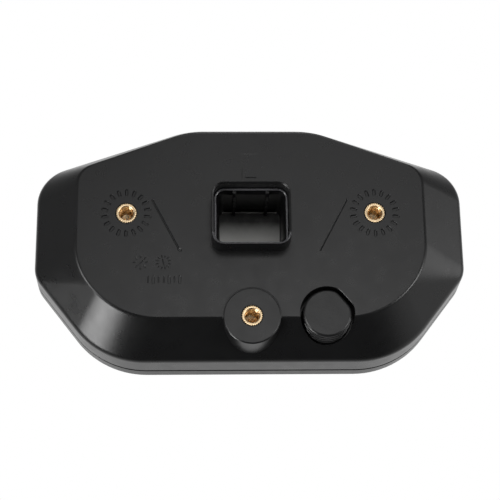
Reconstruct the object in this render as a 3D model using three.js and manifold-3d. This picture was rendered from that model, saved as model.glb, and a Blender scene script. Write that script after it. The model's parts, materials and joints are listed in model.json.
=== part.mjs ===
// Motorcycle instrument cluster: a wide eight-sided colour-display dash with three M6 mounting inserts
// and a shrouded connector on its back. Millimetres. +Z is up as mounted, the rider looks along +Y at
// the display, and the flat back face lies in the plane y = 0. The origin is on the back face, on the
// mid-plane, halfway between the upper and the lower row of mounting inserts. Left and right are the
// rider's, so left is -X.
import * as THREE from 'three';
import { mergeVertices } from 'three/addons/utils/BufferGeometryUtils.js';
import Module from 'manifold-3d';

const wasm = await Module();
wasm.setup();

// ---------- driving dimensions ----------

// Outlines, +X half from the top down: half-width, height and corner radius of each corner.
const BACK_FACE = [[25, 55.5, 30], [68.7, 39.5, 9], [68.7, -2.3, 22], [50.6, -21.7, 30]];
const CHAMFER_FOOT = [[25.2, 61.9, 40], [86, 41, 15], [86, -0.5, 11], [58.7, -35.6, 35]];
const LENS = [[24, 57.1, 30], [81.2, 37.6, 10], [81.2, 1.2, 8], [63.6, -21.5, 8]];

// Depths along Y, from the back face towards the rider.
const BACK_Y = 0;
const FOOT_Y = -14.4;
const SEAM_Y = -26.6;
const FRONT_Y = -34.5;
const WALL = 2.5;
const WALL_DRAFT = Math.tan(THREE.MathUtils.degToRad(2.5));
const BACK_WALL_INSET = 1.6;
const BACK_EDGE = 0.6;
const FRONT_EDGE = 1.2;

// Clearances: between pieces that rest on each other, and round a piece in its hole.
const REST_GAP = 0.1;
const FIT_GAP = 0.25;
const SEAM_GAP = 0.2;

// How far a cutter runs past the face that it cuts, and how far a join runs into its neighbour.
const OVERSHOOT = 1;

// Joint of the two shells: a skirt on the bezel inside the rear case, and a cord seal in a groove.
const SKIRT_OVERLAP = 4;
const GASKET_DEPTH = 1.1;

// Mounting inserts, M6.
const INSERT_X = 49;
const INSERT_Z = 21;
const INSERT_RADIUS = 4.2;
const INSERT_BORE = 2.6;
const INSERT_LENGTH = 11;
const INSERT_LEAD = 0.5;
const INSERT_FLOOR = 1.2;
const BOSS_RADIUS = 6.8;
const BOSS_END_Y = -14;
const LOWER_BOSS_RADIUS = 11.15;
const LOWER_BOSS_FOOT_RADIUS = 12.1;
const LOWER_BOSS_PROUD = 0.3;
const LOWER_BOSS_CORE = 8.9;

// Connector: a rounded collar on the back and the header that fills it from the board.
const COLLAR_SIZE = [31, 25.9];
const COLLAR_RADIUS = 5;
const COLLAR_WALL = 0.9;
const COLLAR_Z = 18.1;
const COLLAR_PROUD_Y = 9;
const COLLAR_END_Y = -6;
const HEADER_MOUTH_Y = 3.5;
const HEADER_WALL = 1.9;
const HEADER_BASE = 2.1;
const HEADER_LEAD = 1.1;
const HEADER_LEAD_DEPTH = 2.2;
const KEY_RIB_X = 6.5;
const KEY_RIB_SIZE = [1.2, 1.3];
const KEY_RIB_DROP = 0.35;
const PIN_SIZE = 0.64;
const PIN_PITCH = 2.54;
const PIN_COLUMNS = 4;
const PIN_ROWS_Z = [10.2, 12.74];
const PIN_TOP_Y = -13;
const PIN_TAIL_Y = -24.2;
const PIN_TIP = 0.32;
const WAFER_THICKNESS = 0.5;

// Pressure-equalising vent in its round pocket.
const VENT_X = -29.15;
const VENT_Z = -19.95;
const VENT_POCKET_RADIUS = 10.6;
const VENT_POCKET_FLAT = 9.9;
const VENT_POCKET_Y = -11.2;
const VENT_CUP_RADIUS = 12.2;
const VENT_CUP_FLOOR = 1.8;
const VENT_CAP_RADIUS = 9.4;
const VENT_CAP_FLAT = 8.6;
const VENT_CAP_TOP_Y = -0.2;
const VENT_CAP_END_Y = -8.9;
const VENT_CAP_CROWN = 2.4;
const VENT_LEG_COUNT = 3;
const VENT_LEG = [2.4, 1.4];
const VENT_LEG_RADIUS = 7.95;
const VENT_LEG_ANGLE = THREE.MathUtils.degToRad(80);
const VENT_HOLLOW_RADIUS = 6.9;
const VENT_FLAT_ANGLE = THREE.MathUtils.degToRad(140);
const VENT_STEM_RADIUS = 3;
const VENT_BORE_RADIUS = 1.4;
const VENT_STEM_END_Y = -16.5;
const VENT_FLANGE = [5.4, 1.3];
const VENT_SEAL = [3.3, 4.7];

// Window stack behind the lens.
const LENS_FRONT_Y = -34.1;
const LENS_THICKNESS = 2.2;
const SEAL_THICKNESS = 0.6;
const MASK_THICKNESS = 0.5;
const SHELF_INSET = 3;
const SHELF_THICKNESS = 1.7;
const COLLAR_RIM = 2.2;
const BEZEL_WALL_Y = -32.5;

// Display module, centred on the mid-plane.
const DISPLAY_Z = 11;
const DISPLAY_ACTIVE = [106, 60];
const DISPLAY_MODULE = [116, 70];
const DISPLAY_FRONT_Y = -29.2;
const DISPLAY_BACK_Y = -24.8;
const DISPLAY_CAN_WALL = 1.1;
const DISPLAY_CAN_SHEET = 0.3;
const DISPLAY_VIEW_MARGIN = 1;
const GLASS_THICKNESS = 1.5;
const BACKLIGHT_THICKNESS = 1.8;
const CARRIER_BACK_Y = -23.8;
const CARRIER_INSET = 4.2;

// Telltale columns at both sides of the display.
const TELLTALE_X = 70;
const TELLTALE_Z = [35, 26.5, 18, 9.5, 1];
const TELLTALE_RADIUS = 2.4;
const GUIDE_BAR = [9, 42];
const GUIDE_BAR_DEPTH = 2.4;
const SENSOR_Z = 51;
const SENSOR_HOLE = 1.4;
const SENSOR_SIZE = 3;
const SENSOR_HEIGHT = 0.9;
const SENSOR_MARGIN = 0.5;

// Main board.
const BOARD_FRONT_Y = -23.6;
const BOARD_BACK_Y = -22;
const BOARD_INSET = 4.9;

// Display ribbon: how far it lies on the display, and its height over the display and over the board.
const FLEX_WIDTH = 24;
const FLEX_X = -26;
const FLEX_SLOT = [26, 3.4];
const FLEX_SLOT_Z = 36;
const FLEX_THICKNESS = 0.3;
const FLEX_TAIL = 12;
const FLEX_BEND = 1;
const FLEX_DISPLAY_RISE = 0.5;
const FLEX_BOARD_RISE = 1.2;

// Parts that stand on the back of the board: size as width, height and rise, and place as x and z.
const FLEX_CONNECTOR = { size: [28, 5.2, 2.4], place: [FLEX_X, 44.2] };
const PROCESSOR = { size: [17, 17, 1.5], place: [38, 2] };
const MEMORY_CHIP = { size: [9, 13, 1.1], place: [58, 4] };
const BUS_TRANSCEIVER = { size: [6, 5, 1.6], place: [22, -6] };
const POWER_INDUCTOR = { size: [10, 10, 5], place: [-58, 0] };

// Round parts: radius, rise and place.
const CAPACITOR_RADIUS = 4;
const CAPACITOR_RISE = 8;
const CAPACITOR_PLACES = [[-44, 2], [-44, -8]];
const BUZZER_RADIUS = 6.5;
const BUZZER_RISE = 4.5;
const BUZZER_PLACE = [40, -14];
const BUZZER_HOLE_RADIUS = 1.1;
const BUZZER_HOLE_DEPTH = 2.2;

// Push buttons in the chin below the lens.
const BUTTON_X = 24;
const BUTTON_Z = -28.6;
const BUTTON_CAP = [13.6, 5.2];
const BUTTON_FLANGE = [15.6, 6.8];
const BUTTON_FRONT_Y = -35.6;
const BUTTON_FLANGE_Y = -32.3;
const BUTTON_FLANGE_THICKNESS = 1;
const BUTTON_STEM_RADIUS = 2;
const BUTTON_STEM_END_Y = -28.3;
const GUIDE_END_Y = -29.4;
const GUIDE_WALL = 1.2;
const BOOT_THICKNESS = 0.6;
const SWITCH_BODY = 4.5;
const SWITCH_HEIGHT = 2.4;
const SWITCH_PLUNGER = [1.1, 0.8];
const SWITCH_MARGIN = 1;

// Screws: thread radius, head radius, head height.
const BOARD_SCREW = [1.2, 2.4, 1.7];
const BOARD_SCREW_LENGTH = 5;
const BOARD_SCREWS = [[76.5, 35], [76.5, 2], [36, 50], [-36, 50], [-76.5, 35], [-76.5, 2]];
const CARRIER_SCREW = [1.2, 2.3, 1.4];
const CARRIER_SCREW_LENGTH = 6.2;
const CARRIER_SCREWS = [[45, -28.6], [0, -28.6], [-45, -28.6]];
const SCREW_BOSS_RADIUS = 2.9;
const SCREW_HEAD_EDGE = 0.6;

// Facets, the shortest flat left between two round ends, and the distance at which points are one.
const CORNER_STEPS = 4;
const ROUND = 24;
const SMALL_ROUND = 12;
const PILL_FLAT = 0.02;
const SAME_POINT = 1e-4;

// ---------- materials ----------

function plastic(color, roughness) {
  return new THREE.MeshStandardMaterial({ color, roughness, metalness: 0 });
}

function metal(color, roughness) {
  return new THREE.MeshStandardMaterial({ color, roughness, metalness: 1 });
}

function clearPlastic(color, roughness, opacity) {
  return new THREE.MeshStandardMaterial({ color, roughness, opacity, transparent: true });
}

const MATERIAL = {
  casePlastic: plastic(0x1f2023, 0.6),
  bezelPlastic: plastic(0x1b1c1f, 0.45),
  innerPlastic: plastic(0x2b2c2e, 0.7),
  lens: clearPlastic(0x2a2f33, 0.05, 0.35),
  mask: plastic(0x08080a, 0.4),
  rubber: plastic(0x17171a, 0.85),
  brass: metal(0xc79a4b, 0.35),
  tin: metal(0xb9bcc0, 0.3),
  steel: metal(0x9a9da1, 0.4),
  board: plastic(0x1d4a2e, 0.5),
  chip: plastic(0x15161a, 0.5),
  wafer: plastic(0xb9b9b4, 0.6),
  display: plastic(0x0a0c10, 0.15),
  backlight: plastic(0xe6e6e2, 0.5),
  guide: plastic(0xd9dde0, 0.25),
  flex: plastic(0xb06a24, 0.5),
  membrane: plastic(0xe9e9e4, 0.9),
};

// ---------- outlines ----------

function mirrored(half) {
  const left = half.map(([x, z, radius]) => [-x, z, radius]).reverse();
  return [...half, ...left];
}

// Corner of two edges that have both moved out by the distance.
function offsetCorner(before, corner, after, distance) {
  const into = new THREE.Vector2(corner[0] - before[0], corner[1] - before[1]).normalize();
  const away = new THREE.Vector2(after[0] - corner[0], after[1] - corner[1]).normalize();
  const bisector = new THREE.Vector2(-into.y - away.y, into.x + away.x).normalize();
  const reach = distance / bisector.dot(new THREE.Vector2(-into.y, into.x));
  return new THREE.Vector2(corner[0], corner[1]).addScaledVector(bisector, reach);
}

// Rounded points of a corner list in clockwise order, grown by the distance (negative shrinks it).
function outline(half, distance = 0) {
  const corners = mirrored(half);
  const count = corners.length;
  const grown = corners.map((corner, index) => {
    const before = corners[(index + count - 1) % count];
    const after = corners[(index + 1) % count];
    return offsetCorner(before, corner, after, distance);
  });
  const points = [];
  grown.forEach((corner, index) => {
    const radius = Math.max(corners[index][2] + distance, 1);
    const before = grown[(index + count - 1) % count].clone().sub(corner).normalize();
    const after = grown[(index + 1) % count].clone().sub(corner).normalize();
    const halfAngle = Math.acos(before.dot(after)) / 2;
    const middle = before.clone().add(after).normalize();
    const centre = corner.clone().addScaledVector(middle, radius / Math.sin(halfAngle));
    const start = corner.clone().addScaledVector(before, radius / Math.tan(halfAngle)).sub(centre);
    const sweep = Math.PI - 2 * halfAngle;
    for (let step = 0; step <= CORNER_STEPS; step += 1) {
      const turn = -sweep * (step / CORNER_STEPS);
      points.push(start.clone().rotateAround(new THREE.Vector2(), turn).add(centre));
    }
  });
  return points;
}

function roundedRectangle(width, height, radius, centreZ = 0, centreX = 0, steps = CORNER_STEPS) {
  const points = [];
  const quarters = [[1, 1, Math.PI / 2], [1, -1, 0], [-1, -1, -Math.PI / 2], [-1, 1, Math.PI]];
  quarters.forEach(([sideX, sideZ, startAngle]) => {
    const cornerX = centreX + sideX * (width / 2 - radius);
    const cornerZ = centreZ + sideZ * (height / 2 - radius);
    for (let step = 0; step <= steps; step += 1) {
      const angle = startAngle - (Math.PI / 2) * (step / steps);
      const reach = new THREE.Vector2(radius * Math.cos(angle), radius * Math.sin(angle));
      points.push(reach.add(new THREE.Vector2(cornerX, cornerZ)));
    }
  });
  return points;
}

function rectangle(width, height, centreX, centreZ) {
  const halfWidth = width / 2;
  const halfHeight = height / 2;
  return [[-1, 1], [1, 1], [1, -1], [-1, -1]].map(([sideX, sideZ]) => (
    new THREE.Vector2(centreX + sideX * halfWidth, centreZ + sideZ * halfHeight)));
}

function pill([width, height], centreX, centreZ) {
  const radius = (height - PILL_FLAT) / 2;
  return roundedRectangle(width, height, radius, centreZ, centreX, CORNER_STEPS - 1);
}

function circle(radius, centreX, centreZ, facets = ROUND) {
  return Array.from({ length: facets }, (_, index) => {
    const angle = -2 * Math.PI * ((index + 0.5) / facets);
    return new THREE.Vector2(centreX + radius * Math.cos(angle), centreZ + radius * Math.sin(angle));
  });
}

// ---------- solids ----------

// A geometry with shared vertices as a manifold solid.
function solid(geometry) {
  const plain = geometry.clone();
  plain.deleteAttribute('normal');
  plain.deleteAttribute('uv');
  const merged = mergeVertices(plain, SAME_POINT);
  const numProp = 3;
  const vertProperties = new Float32Array(merged.attributes.position.array);
  const triVerts = new Uint32Array(merged.index.array);
  const body = new wasm.Manifold(new wasm.Mesh({ numProp, vertProperties, triVerts }));
  if (body.volume() > 0) return body;
  const insideOut = new wasm.Mesh({ numProp, vertProperties, triVerts: triVerts.reverse() });
  return new wasm.Manifold(insideOut);
}

function geometryOf(body) {
  const mesh = body.getMesh();
  const geometry = new THREE.BufferGeometry();
  geometry.setAttribute('position', new THREE.BufferAttribute(new Float32Array(mesh.vertProperties), 3));
  geometry.setIndex(new THREE.BufferAttribute(new Uint32Array(mesh.triVerts), 1));
  geometry.computeVertexNormals();
  return geometry;
}

// A prism between two depths, with optional holes that go right through.
function prism(points, backY, frontY, holes = []) {
  const shape = new THREE.Shape(points);
  const geometry = new THREE.ExtrudeGeometry(shape, { depth: backY - frontY, bevelEnabled: false, steps: 1 });
  geometry.rotateX(Math.PI / 2);
  geometry.translate(0, backY, 0);
  const cutters = holes.map((hole) => prism(hole, backY + OVERSHOOT, frontY - OVERSHOOT));
  return cutters.reduce((body, cutter) => body.subtract(cutter), solid(geometry));
}

function ring(outer, inner, backY, frontY) {
  return prism(outer, backY, frontY, [inner]);
}

function cylinder(radius, centreX, centreZ, backY, frontY, facets = ROUND) {
  return prism(circle(radius, centreX, centreZ, facets), backY, frontY);
}

// A solid of revolution about an axis parallel to Y, from radius and depth pairs.
function turned(profile, centreX, centreZ, facets = ROUND) {
  const closed = profile.map(([radius, y]) => new THREE.Vector2(radius, y));
  if (profile[0][0] > 0) closed.push(closed[0].clone());
  const geometry = new THREE.LatheGeometry(closed, facets);
  geometry.translate(centreX, 0, centreZ);
  return solid(geometry);
}

// A skin through outlines with equal numbers of points, each at its own depth, closed at both ends.
function loft(sections) {
  const count = sections[0].points.length;
  const positions = sections.flatMap(({ points, y }) => points.flatMap((point) => [point.x, y, point.y]));
  const index = [];
  for (let level = 0; level + 1 < sections.length; level += 1) {
    for (let step = 0; step < count; step += 1) {
      const next = (step + 1) % count;
      const near = level * count;
      const far = near + count;
      index.push(near + step, far + step, far + next, near + step, far + next, near + next);
    }
  }
  const last = (sections.length - 1) * count;
  const faces = THREE.ShapeUtils.triangulateShape(sections[0].points, []);
  const lastFaces = THREE.ShapeUtils.triangulateShape(sections.at(-1).points, []);
  faces.forEach(([a, b, c]) => index.push(a, c, b));
  lastFaces.forEach(([a, b, c]) => index.push(last + a, last + b, last + c));
  const geometry = new THREE.BufferGeometry();
  geometry.setAttribute('position', new THREE.BufferAttribute(new Float32Array(positions), 3));
  geometry.setIndex(index);
  return solid(geometry);
}

// How far the side wall has grown past the chamfer's foot at a depth.
function draftAt(y) {
  return (FOOT_Y - y) * WALL_DRAFT;
}

function wallSection(y, inset) {
  return { points: outline(CHAMFER_FOOT, draftAt(y) - inset), y };
}

// ---------- the model ----------

const group = new THREE.Group();

function addPart(name, body, material) {
  const mesh = new THREE.Mesh(geometryOf(body), material);
  mesh.name = name;
  group.add(mesh);
}

// ---------- casing ----------

function rearEnvelope() {
  return loft([
    { points: outline(BACK_FACE, -BACK_EDGE), y: BACK_Y },
    { points: outline(BACK_FACE, BACK_EDGE / 2), y: BACK_Y - BACK_EDGE },
    wallSection(FOOT_Y, 0),
    wallSection(SEAM_Y, 0),
  ]);
}

function rearCavity() {
  return loft([
    { points: outline(BACK_FACE, -BACK_WALL_INSET), y: BACK_Y - WALL },
    wallSection(FOOT_Y - BACK_EDGE, WALL),
    wallSection(SEAM_Y - WALL, WALL),
  ]);
}

// A pocket or cap outline with one flat side.
function flattenedDisc(radius, flat, backY, frontY) {
  const disc = cylinder(radius, VENT_X, VENT_Z, backY, frontY, ROUND + SMALL_ROUND);
  const depth = backY - frontY + 2 * OVERSHOOT;
  const cutter = new THREE.BoxGeometry(radius, depth, 3 * radius);
  cutter.translate(flat + radius / 2, 0, 0);
  cutter.rotateY(-VENT_FLAT_ANGLE);
  cutter.translate(VENT_X, (backY + frontY) / 2, VENT_Z);
  return disc.subtract(solid(cutter));
}

function collarOutline(inset) {
  const [width, height] = COLLAR_SIZE;
  return roundedRectangle(width - 2 * inset, height - 2 * inset, COLLAR_RADIUS - inset, COLLAR_Z);
}

function insertPlaces() {
  return [
    { name: 'insert_upper_left', x: -INSERT_X, z: INSERT_Z, faceY: BACK_Y },
    { name: 'insert_upper_right', x: INSERT_X, z: INSERT_Z, faceY: BACK_Y },
    { name: 'insert_lower', x: 0, z: -INSERT_Z, faceY: BACK_Y + LOWER_BOSS_PROUD },
  ];
}

function rearCase() {
  const envelope = rearEnvelope();
  const [upperLeft, upperRight, lower] = insertPlaces();
  const overlapY = BACK_Y - WALL / 2;
  const finer = ROUND + SMALL_ROUND;
  let body = envelope.subtract(rearCavity());
  [upperLeft, upperRight].forEach(({ x, z }) => {
    body = body.add(cylinder(BOSS_RADIUS, x, z, overlapY, BOSS_END_Y));
  });
  const lowerBoss = turned([
    [0, lower.faceY],
    [LOWER_BOSS_RADIUS, lower.faceY],
    [LOWER_BOSS_FOOT_RADIUS, BOSS_END_Y],
    [0, BOSS_END_Y],
  ], lower.x, lower.z, finer);
  const core = ring(
    circle(LOWER_BOSS_CORE, lower.x, lower.z),
    circle(BOSS_RADIUS, lower.x, lower.z),
    BACK_Y - WALL,
    BOSS_END_Y - OVERSHOOT,
  );
  body = body.add(lowerBoss).subtract(core);
  const cupEnd = VENT_POCKET_Y - VENT_CUP_FLOOR;
  const cup = cylinder(VENT_CUP_RADIUS, VENT_X, VENT_Z, overlapY, cupEnd, finer);
  body = body.add(cup.intersect(envelope));
  const pocket = flattenedDisc(VENT_POCKET_RADIUS, VENT_POCKET_FLAT, BACK_Y + OVERSHOOT, VENT_POCKET_Y);
  const stemHole = cylinder(VENT_STEM_RADIUS + FIT_GAP, VENT_X, VENT_Z, BACK_Y, cupEnd - OVERSHOOT);
  body = body.subtract(pocket).subtract(stemHole);
  const collarHole = prism(
    collarOutline(COLLAR_WALL),
    COLLAR_PROUD_Y + OVERSHOOT,
    COLLAR_END_Y - OVERSHOOT,
  );
  body = body.add(prism(collarOutline(0), COLLAR_PROUD_Y, COLLAR_END_Y)).subtract(collarHole);
  insertPlaces().forEach(({ x, z, faceY }) => {
    const bottom = faceY - INSERT_LENGTH - OVERSHOOT;
    body = body.subtract(cylinder(INSERT_RADIUS + FIT_GAP, x, z, faceY + OVERSHOOT, bottom));
  });
  return body;
}

function buttonPlaces() {
  return [{ side: 'left', x: -BUTTON_X }, { side: 'right', x: BUTTON_X }];
}

function grownPill([width, height], growth, centreX) {
  return pill([width + 2 * growth, height + 2 * growth], centreX, BUTTON_Z);
}

function frontBezel() {
  const backY = SEAM_Y - SEAM_GAP;
  const skirtOuter = WALL + FIT_GAP;
  const skirtInner = skirtOuter + GUIDE_WALL;
  const shelfFront = LENS_FRONT_Y + LENS_THICKNESS + SEAL_THICKNESS + 2 * REST_GAP;
  const shelfBack = shelfFront + SHELF_THICKNESS;
  const envelope = loft([
    wallSection(backY, 0),
    wallSection(FRONT_Y + FRONT_EDGE, 0),
    wallSection(FRONT_Y, FRONT_EDGE),
  ]);
  const cavity = loft([wallSection(backY + OVERSHOOT, WALL), wallSection(BEZEL_WALL_Y, WALL)]);
  const joinY = BEZEL_WALL_Y - OVERSHOOT;
  const aheadY = FRONT_Y - OVERSHOOT;
  let body = envelope.subtract(cavity);
  body = body.add(prism(outline(LENS, COLLAR_RIM), shelfBack, joinY));
  body = body.subtract(prism(outline(LENS, FIT_GAP), shelfFront, aheadY));
  body = body.subtract(prism(outline(LENS, -SHELF_INSET), shelfBack + OVERSHOOT, aheadY));
  body = body.add(ring(
    outline(CHAMFER_FOOT, draftAt(SEAM_Y) - skirtOuter),
    outline(CHAMFER_FOOT, draftAt(SEAM_Y) - skirtInner),
    SEAM_Y + SKIRT_OVERLAP,
    backY - WALL,
  ));
  body = body.add(ring(
    outline(CHAMFER_FOOT, draftAt(SEAM_Y) - WALL / 2),
    outline(CHAMFER_FOOT, draftAt(SEAM_Y) - skirtInner),
    backY - WALL / 2,
    backY - WALL,
  ));
  body = body.subtract(ring(
    outline(CHAMFER_FOOT, draftAt(SEAM_Y) - WALL / 2),
    outline(CHAMFER_FOOT, draftAt(SEAM_Y) - WALL),
    backY + OVERSHOOT,
    SEAM_Y - SEAM_GAP / 2 - GASKET_DEPTH - REST_GAP,
  ));
  const guideCutY = GUIDE_END_Y + OVERSHOOT;
  buttonPlaces().forEach(({ x }) => {
    body = body.add(prism(grownPill(BUTTON_FLANGE, FIT_GAP + GUIDE_WALL, x), GUIDE_END_Y, joinY));
    body = body.subtract(prism(grownPill(BUTTON_FLANGE, FIT_GAP, x), guideCutY, BEZEL_WALL_Y));
    body = body.subtract(prism(grownPill(BUTTON_CAP, FIT_GAP, x), guideCutY, aheadY));
  });
  const [thread] = CARRIER_SCREW;
  CARRIER_SCREWS.forEach(([x, z]) => {
    const boss = cylinder(SCREW_BOSS_RADIUS, x, z, DISPLAY_FRONT_Y - REST_GAP, joinY, SMALL_ROUND);
    const hole = cylinder(thread + FIT_GAP, x, z, DISPLAY_FRONT_Y, BEZEL_WALL_Y, SMALL_ROUND);
    body = body.add(boss).subtract(hole);
  });
  return body;
}

// A square cord in the joint face of the two shells.
function caseGasket() {
  return ring(
    outline(CHAMFER_FOOT, draftAt(SEAM_Y) - WALL / 2 - FIT_GAP),
    outline(CHAMFER_FOOT, draftAt(SEAM_Y) - WALL + FIT_GAP),
    SEAM_Y - SEAM_GAP / 2,
    SEAM_Y - SEAM_GAP / 2 - GASKET_DEPTH,
  );
}

// ---------- mounting inserts ----------

// A blind insert, so that the joint stays sealed.
function brassInsert({ x, z, faceY }) {
  const endY = faceY - INSERT_LENGTH;
  return turned([
    [0, endY + INSERT_FLOOR],
    [INSERT_BORE, endY + INSERT_FLOOR],
    [INSERT_BORE, faceY - INSERT_LEAD],
    [INSERT_BORE + INSERT_LEAD, faceY],
    [INSERT_RADIUS, faceY],
    [INSERT_RADIUS, endY + INSERT_LEAD],
    [INSERT_RADIUS - INSERT_LEAD, endY],
    [0, endY],
  ], x, z);
}

// ---------- connector ----------

function headerOutline(inset) {
  return collarOutline(COLLAR_WALL + FIT_GAP + inset);
}

function headerFarWallZ() {
  return COLLAR_Z + COLLAR_SIZE[1] / 2 - COLLAR_WALL - FIT_GAP - HEADER_WALL;
}

function pinPlaces() {
  const middle = (PIN_COLUMNS - 1) / 2;
  return PIN_ROWS_Z.flatMap((z, row) => (
    Array.from({ length: PIN_COLUMNS }, (_, column) => ({
      name: `connector_pin_${row * PIN_COLUMNS + column + 1}`,
      x: (column - middle) * 2 * PIN_PITCH,
      z,
    }))));
}

function pinHole({ x, z }) {
  return rectangle(PIN_SIZE + FIT_GAP, PIN_SIZE + FIT_GAP, x, z);
}

function connectorHeader() {
  const baseY = BOARD_BACK_Y + REST_GAP;
  const floorY = baseY + HEADER_BASE;
  const shell = prism(headerOutline(0), HEADER_MOUTH_Y, baseY);
  const cavity = prism(headerOutline(HEADER_WALL), HEADER_MOUTH_Y + OVERSHOOT, floorY);
  const leadEndY = HEADER_MOUTH_Y - HEADER_LEAD_DEPTH;
  const leadIn = loft([
    { points: headerOutline(HEADER_WALL - HEADER_LEAD), y: HEADER_MOUTH_Y },
    { points: headerOutline(HEADER_WALL), y: leadEndY },
  ]);
  let body = shell.subtract(cavity).subtract(leadIn);
  const [ribWidth, ribDepth] = KEY_RIB_SIZE;
  [-KEY_RIB_X, KEY_RIB_X].forEach((x) => {
    const rib = rectangle(ribWidth, 2 * ribDepth, x, headerFarWallZ());
    body = body.add(prism(rib, HEADER_MOUTH_Y - KEY_RIB_DROP, floorY - HEADER_BASE / 2));
  });
  pinPlaces().forEach((place) => {
    body = body.subtract(prism(pinHole(place), floorY + OVERSHOOT, baseY - OVERSHOOT));
  });
  return body;
}

function connectorPin({ x, z }) {
  const shank = prism(rectangle(PIN_SIZE, PIN_SIZE, x, z), PIN_TOP_Y - PIN_SIZE, PIN_TAIL_Y);
  const tip = loft([
    { points: rectangle(PIN_TIP, PIN_TIP, x, z), y: PIN_TOP_Y },
    { points: rectangle(PIN_SIZE, PIN_SIZE, x, z), y: PIN_TOP_Y - PIN_SIZE },
  ]);
  return shank.add(tip);
}

// The pale insulating plate on the floor of the header, notched round the key ribs.
function connectorWafer() {
  const frontY = BOARD_BACK_Y + HEADER_BASE + 2 * REST_GAP;
  const backY = frontY + WAFER_THICKNESS;
  const [ribWidth, ribDepth] = KEY_RIB_SIZE;
  const notches = [-KEY_RIB_X, KEY_RIB_X].map((x) => (
    rectangle(ribWidth + 2 * FIT_GAP, 2 * (ribDepth + FIT_GAP), x, headerFarWallZ())));
  const holes = [...pinPlaces().map(pinHole), ...notches];
  return prism(headerOutline(HEADER_WALL + FIT_GAP), backY, frontY, holes);
}

// ---------- vent ----------

// A hollow cap on legs, so that air reaches the membrane under it from the sides.
function ventCap() {
  const shell = flattenedDisc(VENT_CAP_RADIUS, VENT_CAP_FLAT, VENT_CAP_TOP_Y, VENT_CAP_END_Y);
  const crownY = VENT_CAP_TOP_Y - VENT_CAP_CROWN;
  const hollow = cylinder(VENT_HOLLOW_RADIUS, VENT_X, VENT_Z, crownY, VENT_CAP_END_Y - OVERSHOOT);
  let body = shell.subtract(hollow);
  const [legWidth, legThickness] = VENT_LEG;
  const legTop = VENT_CAP_END_Y + OVERSHOOT;
  const legFoot = VENT_POCKET_Y + REST_GAP;
  for (let leg = 0; leg < VENT_LEG_COUNT; leg += 1) {
    const bar = new THREE.BoxGeometry(legThickness, legTop - legFoot, legWidth);
    bar.translate(VENT_LEG_RADIUS, 0, 0);
    bar.rotateY(VENT_LEG_ANGLE + leg * ((2 * Math.PI) / VENT_LEG_COUNT));
    bar.translate(VENT_X, (legTop + legFoot) / 2, VENT_Z);
    body = body.add(solid(bar));
  }
  return body;
}

function ventBody() {
  const [flangeRadius, flangeThickness] = VENT_FLANGE;
  const flangeFoot = VENT_POCKET_Y + REST_GAP + VENT_CUP_FLOOR / 2;
  return turned([
    [VENT_BORE_RADIUS, flangeFoot + flangeThickness],
    [flangeRadius, flangeFoot + flangeThickness],
    [flangeRadius, flangeFoot],
    [VENT_STEM_RADIUS, flangeFoot],
    [VENT_STEM_RADIUS, VENT_STEM_END_Y],
    [VENT_BORE_RADIUS, VENT_STEM_END_Y],
  ], VENT_X, VENT_Z);
}

function ventSeal() {
  const [inner, outer] = VENT_SEAL;
  return ring(
    circle(outer, VENT_X, VENT_Z),
    circle(inner, VENT_X, VENT_Z),
    VENT_POCKET_Y + VENT_CUP_FLOOR / 2,
    VENT_POCKET_Y + REST_GAP,
  );
}

function ventMembrane() {
  const [, flangeThickness] = VENT_FLANGE;
  const seatY = VENT_POCKET_Y + REST_GAP + VENT_CUP_FLOOR / 2 + flangeThickness + REST_GAP;
  return cylinder(VENT_STEM_RADIUS, VENT_X, VENT_Z, seatY + 2 * REST_GAP, seatY);
}

// ---------- window ----------

function lens() {
  return prism(outline(LENS), LENS_FRONT_Y + LENS_THICKNESS, LENS_FRONT_Y);
}

function lensSeal() {
  const frontY = LENS_FRONT_Y + LENS_THICKNESS + REST_GAP;
  return ring(outline(LENS, -REST_GAP), outline(LENS, -SHELF_INSET), frontY + SEAL_THICKNESS, frontY);
}

function maskPanel() {
  const frontY = LENS_FRONT_Y + LENS_THICKNESS + REST_GAP;
  const [width, height] = DISPLAY_ACTIVE;
  const holes = [rectangle(width, height, 0, DISPLAY_Z), circle(SENSOR_HOLE, 0, SENSOR_Z, SMALL_ROUND)];
  [-TELLTALE_X, TELLTALE_X].forEach((x) => {
    TELLTALE_Z.forEach((z) => holes.push(circle(TELLTALE_RADIUS, x, z, SMALL_ROUND)));
  });
  return prism(outline(LENS, -SHELF_INSET - FIT_GAP), frontY + MASK_THICKNESS, frontY, holes);
}

// ---------- display module ----------

function moduleOutline(inset) {
  const [width, height] = DISPLAY_MODULE;
  return rectangle(width - 2 * inset, height - 2 * inset, 0, DISPLAY_Z);
}

function displayCan() {
  const [width, height] = DISPLAY_ACTIVE;
  const pocketFront = DISPLAY_FRONT_Y + DISPLAY_CAN_SHEET;
  const pocketBack = DISPLAY_BACK_Y - DISPLAY_CAN_SHEET;
  const pocket = prism(moduleOutline(DISPLAY_CAN_WALL), pocketBack, pocketFront);
  const margin = 2 * DISPLAY_VIEW_MARGIN;
  const opening = rectangle(width + margin, height + margin, 0, DISPLAY_Z);
  const view = prism(opening, pocketBack, DISPLAY_FRONT_Y - OVERSHOOT);
  return prism(moduleOutline(0), DISPLAY_BACK_Y, DISPLAY_FRONT_Y).subtract(pocket).subtract(view);
}

function displayGlass() {
  const frontY = DISPLAY_FRONT_Y + DISPLAY_CAN_SHEET + REST_GAP;
  return prism(moduleOutline(DISPLAY_CAN_WALL + FIT_GAP), frontY + GLASS_THICKNESS, frontY);
}

function displayBacklight() {
  const frontY = DISPLAY_FRONT_Y + DISPLAY_CAN_SHEET + GLASS_THICKNESS + 2 * REST_GAP;
  return prism(moduleOutline(DISPLAY_CAN_WALL + FIT_GAP), frontY + BACKLIGHT_THICKNESS, frontY);
}

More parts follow.
